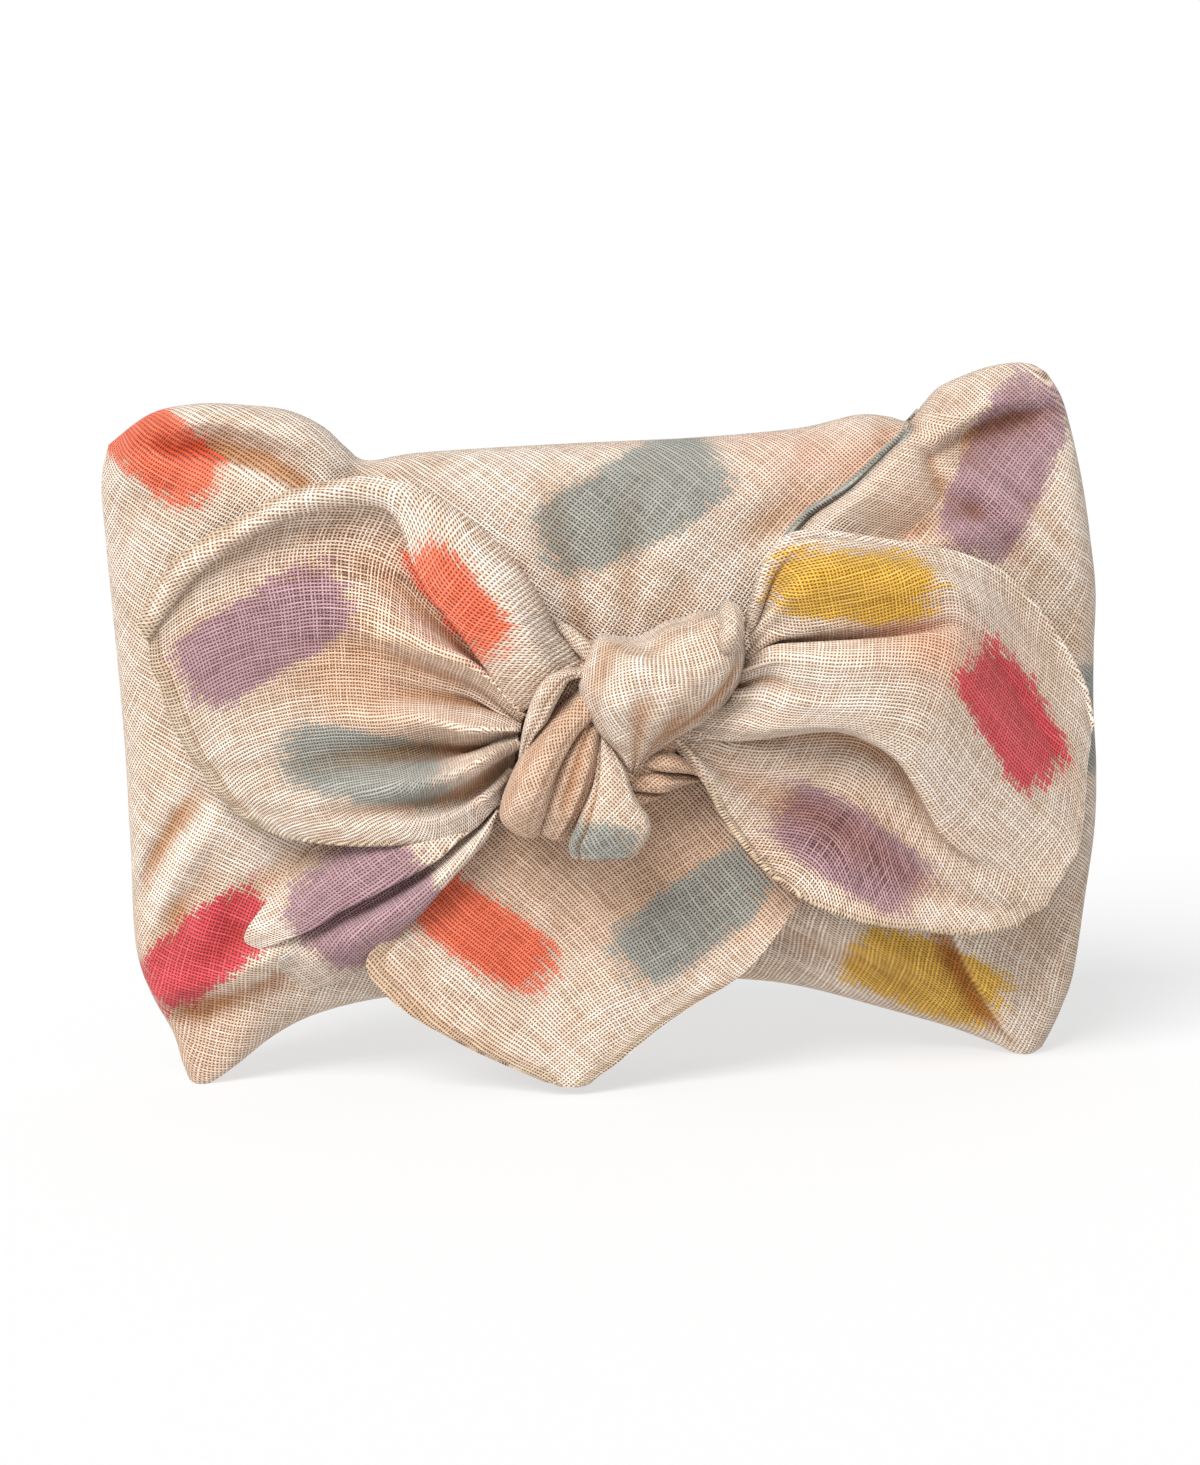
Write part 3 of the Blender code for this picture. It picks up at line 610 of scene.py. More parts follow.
def parcel_faces(folded=1.0):
    """Front and back grids: a Coons patch of the rims, swelling as the root of (1-|2s-1|^n)(1-|2t-1|^n)."""
    across = 0.5 - 0.5 * np.cos(np.linspace(0, np.pi, ACROSS + 1))
    upward = 0.5 - 0.5 * np.cos(np.linspace(0, np.pi, UPWARD + 1))
    low, high = even_rows(BOTTOM, across)[:, None], even_rows(TOP, across)[:, None]
    left, right = even_rows(LEFT, upward)[None], even_rows(RIGHT, upward)[None]
    s, t = across[:, None, None], upward[None, :, None]
    corners = (1 - s) * ((1 - t) * low[:1] + t * high[:1]) + s * ((1 - t) * low[-1:] + t * high[-1:])
    patch = (1 - t) * low + t * high + (1 - s) * left + s * right - corners
    x, z, middle, side = np.moveaxis(patch, 2, 0)
    swell = np.sqrt((1 - abs(2 * s - 1) ** SQUARENESS) * (1 - abs(2 * t - 1) ** SQUARENESS))[..., 0]
    fade = np.minimum(1, 3 * swell)
    angle = np.arctan2(z - KNOT_Z, x - KNOT_X) / (2 * np.pi)
    reach = np.hypot(x - KNOT_X, z - KNOT_Z)
    drawn = gathers(reach / 100, angle, 5, 5, 17, 0.5) * np.exp(-(reach / DRAWN_REACH) ** 2)
    faces = []
    for way, crown, folds, seed in ((-1, FRONT_CROWN, FACE_FOLDS, 11), (1, BACK_CROWN, BACK_FOLDS, 12)):
        slack = (gathers(x / 130, z / 130, seed, 1.5, 4, 2.5) * 0.45
                 + gathers(z / 90, x / 90, seed + 3, 3, 8, 4) * 0.16)
        relief = folded * (fold_height(x, z, folds) + slack + DRAWN_HEIGHT * drawn * (way < 0))
        rise = side / 2 + (crown - side / 2) * swell + fade * relief
        y = middle + way * np.maximum(rise, LEAST_HALF_DEPTH)
        faces.append(np.stack([x, y, np.maximum(z, 0)], axis=2))
    return faces


def read_grid(values, s, t):
    """A grid's value at shares s and t of its size, straight between its four nearest points."""
    place = [np.arccos(1 - 2 * np.clip(share, 0, 1)) / np.pi * (count - 1)
             for share, count in ((s, values.shape[0]), (t, values.shape[1]))]
    low = [np.minimum(p.astype(int), count - 2) for p, count in zip(place, values.shape)]
    (i, j), (a, b) = low, (p - q for p, q in zip(place, low))
    return ((1 - a) * ((1 - b) * values[i, j] + b * values[i, j + 1])
            + a * ((1 - b) * values[i + 1, j] + b * values[i + 1, j + 1]))


FACE_LEFT, FACE_WIDE, FACE_TALL = -125, 252, 172  # mm: the front's own size, near enough to search it
STEPS, STRIDE = 16, 0.8


def face_depth(x, z):
    """The y of the parcel's front at (x, z): s and t are stepped until its grid gives that x and z."""
    s, t = (x - FACE_LEFT) / FACE_WIDE, z / FACE_TALL
    for _ in range(STEPS):
        s = np.clip(s + STRIDE * (x - read_grid(front_face[..., 0], s, t)) / FACE_WIDE, 0, 1)
        t = np.clip(t + STRIDE * (z - read_grid(front_face[..., 2], s, t)) / FACE_TALL, 0, 1)
    return read_grid(front_face[..., 1], s, t)


# %% The parcel's mesh
def on_cloth(along, aside, grain):
    """Each point's place on the flat cloth in mm, with the threads turned by grain degrees."""
    turn = np.radians(grain)
    down, over = np.cos(turn), np.sin(turn)
    place = [along * down + aside * over, aside * down - along * over, 0 * along]
    return np.stack(place, axis=-1).reshape(-1, 3)


GRAIN = -38  # degrees that the parcel's threads are turned
ROUND_THE_RIM = 3.0  # mm of cloth between the front's last row and the back's
FLAT_RIM = 14  # rows in which hollows fade out toward the rim

front_face, back_face = parcel_faces()
points, faces = back_to_back(front_face, back_face)
size = front_face.shape[0] * front_face.shape[1]
fields = {}
for part, bars in ((slice(0, size), BARS["parcel"]), (slice(size, 2 * size), BARS["parcel_back"])):
    for dye, amount in dyed(points[part], bars).items():
        fields.setdefault(dye, np.zeros(2 * size))[part] = amount
fields["cloth_mm"] = np.vstack([on_cloth(lengths(grid, 0) + further, lengths(grid, 1) + further, GRAIN)
                                for grid, further in zip(parcel_faces(0.0), (0, ROUND_THE_RIM))])
from_rim = np.minimum.outer(*(np.minimum(np.arange(n), np.arange(n)[::-1]) for n in front_face.shape[:2]))
from_rim = np.clip(from_rim / FLAT_RIM - 0.3, 0, 1)
# painted shade in the front's and back's hollows and painted highlight on their ridges, faded out toward the
# rim
fields["hollow"] = np.concatenate([(from_rim * hollows(grid)).ravel() for grid in (front_face, -back_face)])
parcel = add_mesh("parcel", points, faces, fields, linen)
print("parcel:", len(faces), "faces")

# %% [markdown]
# ## Sheets of cloth
# The flap, the leaves and the pleats are one thickness of cloth. Each is a loft of its lines, moved half a
# cloth's thickness to either side along its normals. Near a free edge the cloth is turned over and sewn, so
# it is twice as thick there and a shade darker. A Solidify modifier could give the thickness, but it would
# not know where the hem is.


# %% A sheet from its grid
def add_sheet(name, grid, hems=None, grain=0.0, opened=None, band=None):
    """A closed sheet on a grid [across, along], hemmed along its edges first, last and end.

    hems gives each hemmed edge the share of the length from which its hem can be seen. opened loosens the
    weave at each point. band dyes the cloth grey between two shares of its width.
    """
    aside, along = lengths(grid, 0), lengths(grid, 1)
    gap = {"first": aside, "last": aside[-1:] - aside, "end": along[:, -1:] - along}
    seen = np.linspace(0, 1, grid.shape[1])[None]
    hem = 0 * aside
    for edge, start in (hems or {}).items():
        hem = hem + 1 / (1 + np.exp((gap[edge] - HEM) * 4)) * np.clip((seen - start) / 0.15 + 0.5, 0, 1)
    hem = hem.clip(0, 1)
    groove = 4 * hem * (1 - hem)
    half = (HALF_CLOTH + (HALF_HEM - HALF_CLOTH) * hem - STITCHED * groove)[..., None] * facing(grid)
    front, back = grid + half, grid - half
    points, faces = back_to_back(front, back)
    points[:, 2] = np.maximum(points[:, 2], 0)
    long = along[:, -1].mean()
    fields = dyed(points, BARS.get(name, []))
    fields["hem"] = np.tile((0.7 * hem).ravel(), 2)
    # painted shade in the sheet's hollows and along the hem's seam, and painted highlight on its ridges
    fields["hollow"] = np.tile((hollows(grid) + 0.4 * groove).ravel(), 2)
    place = on_cloth(seen * long + 0 * aside, aside - aside[len(aside) // 2], grain)
    fields["cloth_mm"] = np.tile(place, (2, 1))
    if opened is not None:
        fields["open"] = np.tile(opened.ravel(), 2)
    if band:
        share = aside / aside[-1:]
        inside = np.minimum(share - band[0], band[1] - share) * aside[-1:] / REACH
        fields["grey"] = np.tile(np.clip(0.5 + inside, 0, 1).ravel(), 2)
    piece = add_mesh(name, points, faces, fields, linen)


# %% [markdown]
# ## The flap
# The cloth's near corner hangs down the face to a point that all but touches the floor. It lies almost
# flat, on the bias, with two slow waves.

# %% The flap's lines
FLAP = [
    Line("left edge", [(-20.4, 90.5, -26.8), (-33.8, 70.7, -28.8), (-47.2, 53.2, -29.3),
        (-56.6, 41.9, -29.3), (-61.8, 34.5, -29), (-57.3, 26.7, -29.5), (-48.6, 19.5, -30.5),
        (-38.1, 13.5, -32.3), (-26.5, 8.1, -34.5), (-16.9, 3.8, -36.5)]),
    Line("left of middle", [(-10.2, 90.1, -27), (-21.1, 70.4, -29.5), (-32.1, 50.3, -30.3),
        (-38.9, 37.6, -30.3), (-41.9, 28.5, -30), (-39.6, 22, -30.5), (-33.4, 16.1, -31.8),
        (-24.6, 10.5, -33.8), (-17.6, 6.2, -35.6), (-14.9, 3.2, -36.8)]),
    Line("middle", [(1.2, 89.7, -27), (-6, 67.1, -29), (-13.6, 46.8, -29), (-18.3, 31.4, -29),
        (-20.4, 21.2, -30), (-19.9, 13.8, -32), (-17.6, 8.5, -34.2), (-15.1, 5.1, -35.8),
        (-13.2, 2.7, -37)]),
    Line("right of middle", [(12.6, 89.3, -27), (9.3, 66.7, -29.8), (4.7, 46.5, -31), (0.9, 31.2, -31.8),
        (-1.8, 21.1, -32.6), (-4.1, 13.6, -33.8), (-7.1, 8.3, -35.2), (-9.3, 5, -36.3), (-11.1, 2.4, -37)]),
    Line("inside right", [(22.8, 90.2, -27), (27.1, 68.6, -29.5), (27, 50.6, -30), (23.5, 36.6, -30.6),
        (18.6, 26.6, -31.5), (11.5, 20.6, -32.5), (3.5, 13.4, -34), (-3.6, 7.2, -35.5), (-9.1, 2.3, -37)]),
    Line("right edge", [(29.3, 95.1, -27), (46.3, 73, -29.3), (55.2, 55.3, -30), (51.4, 48.7, -30.3),
        (46.4, 43.1, -30.8), (41.3, 36.3, -31.2), (33.1, 28.2, -31.8), (21.2, 21.6, -32.8),
        (11.3, 15.7, -33.8), (1, 7.8, -35.3), (-6.3, 3, -37)]),
]
flap_grid = loft(FLAP, 170, 22)
v, u = shares(flap_grid)
waves = 0.5 * gathers(u, v, 21, 1, 4, 1.2) + 0.12 * gathers(u, v, 22, 5, 11, 2)
flap_grid[..., 1] += waves * np.sin(np.pi * u)
add_sheet("flap", flap_grid, {"first": 0.4, "last": 0.7}, grain=45)

# %% [markdown]
# ## Pleats at the lower left
# Where the parcel's cloth is drawn up to the knot it falls into two pleats that lie over the flap. Their
# third column is how proud they stand of the parcel's face, and below 0 they sink into it, so they grow out
# of it.


# %% A sheet that grows out of the parcel's face
def proud_grid(lines, rows, per_gap):
    """A loft whose y column is a height over the parcel's face, turned into a place."""
    grid = loft(lines, rows, per_gap)
    grid[..., 1] = face_depth(grid[..., 0], grid[..., 2]) - grid[..., 1]
    return grid


# %% The pleats' lines
PLEATS = [
    Line("upper side", [(-24, 79, 8), (-33.6, 76.2, 4), (-43.8, 74.6, 2), (-52.8, 73.3, 1.5),
        (-61.9, 71.5, 1.5), (-71.1, 65.9, 1.2), (-80.5, 58, -0.4), (-90.1, 49.2, -1.8), (-101.1, 41.9, -3),
        (-112.9, 35.4, -4)]),
    Line("upper crest", [(-24.5, 78.4, 12), (-31.4, 74.2, 11.5), (-40, 69.7, 10.5), (-49, 65.7, 9.5),
        (-58.1, 61.7, 8.5), (-68.7, 56, 7), (-78.6, 49.4, 4.4), (-88.4, 43.2, 1.2), (-98.6, 37.8, -2),
        (-110.9, 32.8, -4)]),
    Line("upper edge", [(-25.5, 77, 11.5), (-31, 72.1, 11.5), (-37.3, 67.1, 11), (-42, 63, 10.3),
        (-47.8, 59.5, 9.6), (-54.6, 55.9, 8.8), (-62.4, 51.8, 7.8), (-68.2, 48.9, 6.8), (-73.6, 45.3, 5.6),
        (-79.5, 42.5, 4), (-85.7, 39.7, 1.4), (-93.4, 36.5, -1.8), (-104.3, 32.1, -4)]),
    Line("under the upper edge", [(-24.6, 77.3, 7), (-29.6, 72.5, 6), (-35.9, 67.9, 5), (-40.9, 63.8, 4.2),
        (-47, 60.2, 3.4), (-54, 56.4, 2.6), (-61.9, 52.3, 1.8), (-68, 49.4, 1), (-73.3, 46, 0.6),
        (-79.2, 43.1, 0.2), (-85.1, 40.2, -0.4), (-92, 36.9, -1.2), (-102.5, 31.7, -3.5)]),
    Line("between", [(-25.9, 75, 8), (-31.7, 69.4, 7.5), (-39.1, 63.3, 6), (-45.7, 58, 4.5),
        (-52.9, 53.3, 3), (-60.3, 49.3, 1.8), (-66.9, 46, 1.2), (-73, 42.6, 0.8), (-78.8, 39.4, 0.2),
        (-85.6, 36.1, -0.8), (-93.6, 32.5, -2), (-101.8, 29, -3.5)]),
    Line("lower crest", [(-26.4, 74.8, 13), (-30.6, 68.8, 13), (-37, 61.6, 12), (-44.4, 55.4, 10.8),
        (-51.7, 50.2, 9.4), (-59.2, 45.5, 8), (-66.9, 40.4, 6.6), (-73.1, 36.2, 4.8), (-79.2, 31.9, 1.6),
        (-86.9, 27.5, -2.2), (-98.3, 22.1, -4)]),
    Line("lower edge", [(-27.5, 72.9, 11), (-29.4, 68, 11.5), (-34.2, 62.4, 11), (-40.6, 55.7, 10.2),
        (-47, 48.5, 9.4), (-53.4, 42.2, 8.4), (-57.7, 38.2, 7.4), (-62.1, 33.8, 6.2), (-66.4, 30.7, 4.8),
        (-71.6, 27.6, 2.4), (-78.4, 25.2, -0.8), (-87.8, 22.7, -3), (-95.8, 20.2, -4)]),
    Line("under the lower edge", [(-28.1, 72.9, 4), (-30.6, 67.8, 4), (-35.4, 62.7, 3.6), (-41.8, 56.3, 3),
        (-48.2, 49.2, 2.6), (-54.7, 42.9, 2), (-59, 38.9, 1.4), (-63.3, 34.9, 0.8), (-67.4, 32, 0.2),
        (-72.2, 29, -0.4), (-78.6, 26.8, -1.2), (-88.2, 23.8, -3), (-96.3, 20.7, -4)]),
]
pleat_grid = proud_grid(PLEATS, 150, 14)
v, u = shares(pleat_grid)
pleat_grid[..., 1] += 0.35 * gathers(u, v, 31, 3, 9, 0.8) * np.sin(np.pi * v) * (1 - u)
add_sheet("pleats", pleat_grid, grain=8)

# %% [markdown]
# ## The far corner's hem
# The far corner comes over the top and runs down to the knot. Its edge is a narrow rolled hem, grey with
# dye, and the cloth beyond it lies on the parcel.

# %% The hem's lines
EAR_HEM = [
    Line("tucked edge", [(48.3, 136.7, -0.6), (52, 140.5, -0.6), (56.2, 143.9, -0.6), (61.4, 146.9, -0.6),
        (66.1, 150.4, -0.6), (70.9, 154.2, -0.6), (75.7, 158.5, -0.6), (79.2, 161.3, -0.6),
        (81.9, 164.4, -0.8), (84.8, 167.9, -1)]),
    Line("outer side", [(47.7, 138.7, 1.6), (51.2, 142.5, 1.8), (55.1, 145.9, 1.9), (60.5, 148.9, 2),
        (65.3, 152.2, 2), (70, 155.9, 1.9), (74.8, 160.2, 1.7), (78.6, 162.7, 1.5), (81.4, 165.5, 1.1),
        (84.5, 168.7, 0.4)]),
    Line("cord", [(48.9, 139.4, 4.4), (52.1, 143, 4.6), (56, 146.1, 4.6), (61.2, 149.1, 4.5),
        (65.9, 152.3, 4.3), (70.4, 156.1, 4), (75.2, 160, 3.6), (78.7, 162.8, 3), (81.5, 165.6, 2.2),
        (84.8, 168.9, 1)]),
    Line("cord inner side", [(50.8, 138.5, 1.6), (53.9, 142.4, 1.8), (57.6, 145.5, 1.9), (62.5, 148.3, 2),
        (67, 151.6, 2), (71.5, 155.4, 2), (76.1, 159.4, 1.8), (79.6, 162.2, 1.6), (82.1, 165, 1.2),
        (85.3, 168.4, 0.6)]),
    Line("sweep", [(55.1, 136.8, 4), (58.3, 140.7, 4.2), (62, 144.1, 4.2), (66.7, 147.3, 4.1),
        (70.9, 150.6, 3.9), (75.4, 154.4, 3.6), (79.5, 158.4, 3.2), (82.5, 161.4, 2.6), (84.8, 164.7, 1.8),
        (87.3, 168.4, 0.8)]),
    Line("fall", [(64.8, 134.2, 2), (68, 137.9, 2), (71.7, 141.5, 2), (75.9, 144.8, 2), (80.1, 148.3, 1.8),
        (84.2, 152.3, 1.5), (87.7, 156.6, 1.2), (90, 160.2, 0.8), (91.8, 163.8, 0.4), (92.9, 167.6, 0.1)]),
    Line("sunk side", [(77.7, 131.8, -1.5), (81.1, 135.2, -1.5), (84.6, 138.8, -1.5), (88.3, 142.4, -1.5),
        (91.8, 146.2, -1.5), (95.1, 150.6, -1.5), (97.4, 155, -1.5), (98.9, 158.9, -1.5),
        (99.6, 162.8, -1.5), (100, 167.3, -1.5)]),
]
ear_grid = proud_grid(EAR_HEM, 120, 14)
add_sheet("ear_hem", ear_grid, grain=4, band=(0.03, 0.24))

# %% [markdown]
# ## Two leaves
# The knotted ends spread like leaves: each is a loft whose edges are rolled back, with ribs that are
# sharpest where the knot grips them. Part of each leaf is pulled open, so its weave is looser there.

# %% A leaf's ribs and its open cloth
ROLLED = 3.0  # mm that a leaf's long edges are rolled back
RIB_RUN = 0.22  # share of the length in which the ribs die away
SLACK = 0.22  # mm: how high the slack cloth's waves are


def leaf_grid(lines, rows, per_gap, rib, seed):
    """A loft with rolled edges and gathers: rib mm high at the knot, dying away as a falling exponential."""
    grid = loft(lines, rows, per_gap, turned=ROLLED)
    v, u = shares(grid)
    inner = np.clip(6 * np.minimum(v, 1 - v), 0, 1)
    return grid + facing(grid) * (inner * (rib * np.exp(-u / RIB_RUN) * gathers(u, v, seed, 8, 22, 1)
                                           + SLACK * gathers(u, v, seed + 1, 4, 12, 1.5)))[..., None]


def oval(grid, x, z, wide, tall):
    """A soft oval about (x, z): a bell in x times a bell in z."""
    return np.exp(-((grid[..., 0] - x) / wide) ** 2 - ((grid[..., 2] - z) / tall) ** 2)


# %% [markdown]
# ## The left leaf
# One knotted end of the cloth, spread to the left. Its upper edge rolls over into a broad ridge near the
# knot, and below that it is a bowl with ribs that fan out from the knot and die away. The weave is pulled
# open in the upper part of the bowl.

# %% The left leaf's lines
LEFT_LEAF = [
    Line("rim", [(-3.9, 111.3, -40), (-7.5, 116, -41), (-10.3, 119.8, -42), (-13.3, 127, -42.5),
        (-18, 134.7, -42.5), (-24, 141.8, -41.5), (-30.7, 148.2, -40), (-39.5, 154.3, -38),
        (-47.7, 157.7, -36.5), (-55.9, 159.2, -35), (-63.8, 158.4, -34), (-74.5, 156.2, -33),
        (-84.3, 151.3, -31.5), (-94.5, 146, -30), (-103.4, 140.6, -28.5), (-109.5, 133.6, -27),
        (-115.7, 122.7, -25.5)]),
    Line("ridge crest", [(-10.5, 108, -46), (-14.2, 113.6, -49.5), (-18.9, 122, -51.5), (-24, 130.1, -51),
        (-30.2, 138.5, -48.5), (-36.4, 146.3, -44.5), (-42.8, 152.2, -40.5), (-49.7, 155.5, -38.4),
        (-57.2, 156.7, -37.4), (-65.2, 155.9, -36.6), (-74.9, 153.6, -35.6), (-84.2, 149.3, -34.4),
        (-93.6, 144, -33), (-101.8, 138.6, -31.4), (-107.8, 131.8, -29.8), (-114.6, 121.1, -27)]),
    Line("ridge inner edge", [(-19.3, 99.4, -43.5), (-22.6, 105, -46.5), (-26.7, 111.9, -48.5),
        (-30.9, 118.4, -49), (-35.7, 125, -48.5), (-40.4, 131.2, -47), (-44.7, 139, -43),
        (-47.5, 147.4, -38.5), (-51.7, 151.9, -36.4), (-59.2, 153, -35.4), (-67.5, 152, -34.6),
        (-75.7, 150, -33.7), (-84.5, 146.2, -32.6), (-93.3, 141.3, -31.3), (-100.8, 135.9, -30),
        (-106.5, 129.6, -28.5), (-114, 119.4, -26.3)]),
    Line("under the ridge", [(-17.9, 98.6, -38), (-21.2, 103.7, -37.5), (-25, 109.8, -36.5),
        (-29.1, 116.2, -35.5), (-33.6, 122.8, -34.3), (-38.7, 129.6, -33), (-43.2, 137.8, -31.8),
        (-46.9, 145.2, -31), (-52.3, 150.1, -30.3), (-60.3, 151.3, -29.8), (-68.9, 150.3, -29.4),
        (-76.8, 148.6, -29), (-85.1, 144.8, -28.6), (-93.4, 140, -28), (-100.3, 134.8, -27.3),
        (-105.7, 128.6, -26.5), (-113.4, 118, -25.3)]),
    Line("bowl floor", [(-19.7, 97.7, -38.5), (-24.3, 104.1, -36), (-30.1, 111.1, -33.5),
        (-36.4, 117.7, -31.5), (-44.2, 125.9, -29.5), (-52, 134.7, -28.3), (-61.4, 140.1, -27.8),
        (-71.5, 140.4, -27.5), (-81.7, 137.7, -27.5), (-91.5, 133, -27.3), (-99.9, 126.6, -27),
        (-106.7, 118.9, -26.3), (-113, 111.3, -25.3)]),
    Line("second ridge", [(-18.9, 98.7, -42.5), (-21.7, 102.4, -44.5), (-26, 107.9, -45),
        (-30.3, 111.5, -44.5), (-34, 113.5, -43.5), (-41, 116.3, -41), (-49.2, 119.9, -37),
        (-58.8, 123.8, -33), (-70.7, 125.4, -30.3), (-83.5, 123.7, -29), (-94.6, 119.5, -28.3),
        (-103.6, 113.6, -27.3), (-111.1, 107, -25.8)]),
    Line("under the second ridge", [(-19.5, 96.7, -38.5), (-22.9, 99.3, -38.3), (-27.3, 102.9, -37.5),
        (-32.3, 105.9, -35.8), (-37.8, 107.9, -34), (-45.3, 110.5, -32), (-54.8, 113.7, -30.3),
        (-66.1, 116, -29.2), (-77.6, 115.3, -28.5), (-88.4, 112.6, -28.2), (-97.7, 108, -27.8),
        (-105.7, 102.8, -26.8), (-109.4, 100.8, -25.8)]),
    Line("bowl slope", [(-20, 95.5, -39.2), (-24.5, 97.7, -37), (-30, 100.1, -34.3),
        (-37.1, 101.6, -32.2), (-46.4, 102.7, -30.6), (-57.8, 103.6, -30), (-71.8, 103.6, -28.7),
        (-85.3, 101.8, -28.2), (-95.7, 98.5, -27.8), (-103.1, 94, -26.8), (-106.7, 94.3, -26)]),
    Line("upper rib", [(-20.2, 95.5, -44), (-24.1, 96, -47.2), (-29.1, 96.3, -48), (-34.6, 96.5, -46),
        (-40, 97.7, -42), (-46.4, 97.9, -38), (-56.7, 96.8, -33.5), (-70.8, 94.8, -29.8),
        (-84.2, 92.3, -28.6), (-94.6, 89.3, -28), (-104.4, 89.1, -26.3)]),
    Line("between the ribs", [(-20.9, 92.7, -38.5), (-25.2, 91.6, -37), (-29.1, 90.2, -35),
        (-34.3, 89.1, -33), (-41.9, 88.6, -31.2), (-52.1, 88.8, -30.5), (-63.6, 88.3, -29),
        (-76.4, 86.8, -28.3), (-87.9, 84.7, -28), (-101.7, 85.4, -26.5)]),
    Line("lower rib", [(-20.5, 93.1, -45), (-24.3, 92.2, -48.8), (-27.8, 90.7, -51), (-32.9, 88, -50.6),
        (-39.8, 84.8, -47.4), (-49.1, 82.1, -42.4), (-59.7, 80.7, -37.4), (-71.9, 79.5, -31.8),
        (-83, 78.8, -29.8), (-99.1, 81.3, -27)]),
    Line("under the ribs", [(-21.9, 86.3, -39.5), (-25.5, 84.3, -39.5), (-29.3, 82.2, -39.5),
        (-34.5, 79.3, -39), (-40.9, 77.3, -37.8), (-51.2, 75.2, -35.5), (-62.7, 74, -33),
        (-73.7, 73.8, -31), (-84, 74.7, -29.3), (-95.7, 77.1, -27.2)]),
    Line("lower roll", [(-22.6, 85.2, -42.5), (-25.5, 82.2, -44), (-29.4, 78.8, -44), (-34.6, 75.5, -42.5),
        (-41, 72.8, -40), (-50.5, 71.1, -37), (-62.8, 70, -34), (-74.3, 70.6, -31.8), (-84.5, 72.2, -30),
        (-92.2, 74.2, -27.8)]),
    Line("lower edge", [(-22.7, 83.3, -40), (-25.7, 77.8, -41.5), (-28.6, 74.8, -41.5),
        (-32.5, 70.8, -40.5), (-38.2, 67.8, -38.5), (-50.3, 66.8, -35.5), (-64.3, 66.6, -33),
        (-77, 68, -31), (-82.1, 69.3, -30), (-87.5, 71.5, -28)]),
]
left_grid = leaf_grid(LEFT_LEAF, 200, 11, rib=0.9, seed=41)
add_sheet("left_leaf", left_grid, {"first": 0.6, "last": 0.45, "end": 0},
          opened=0.90 * oval(left_grid, -58, 131, 21, 17))

# %% [markdown]
# ## The right leaf
# The other end. Here a puffed petal stands above, a broad fold comes down over the lobe below, and the lobe
# is a shallow bowl of open cloth with a hem along its lower edge.

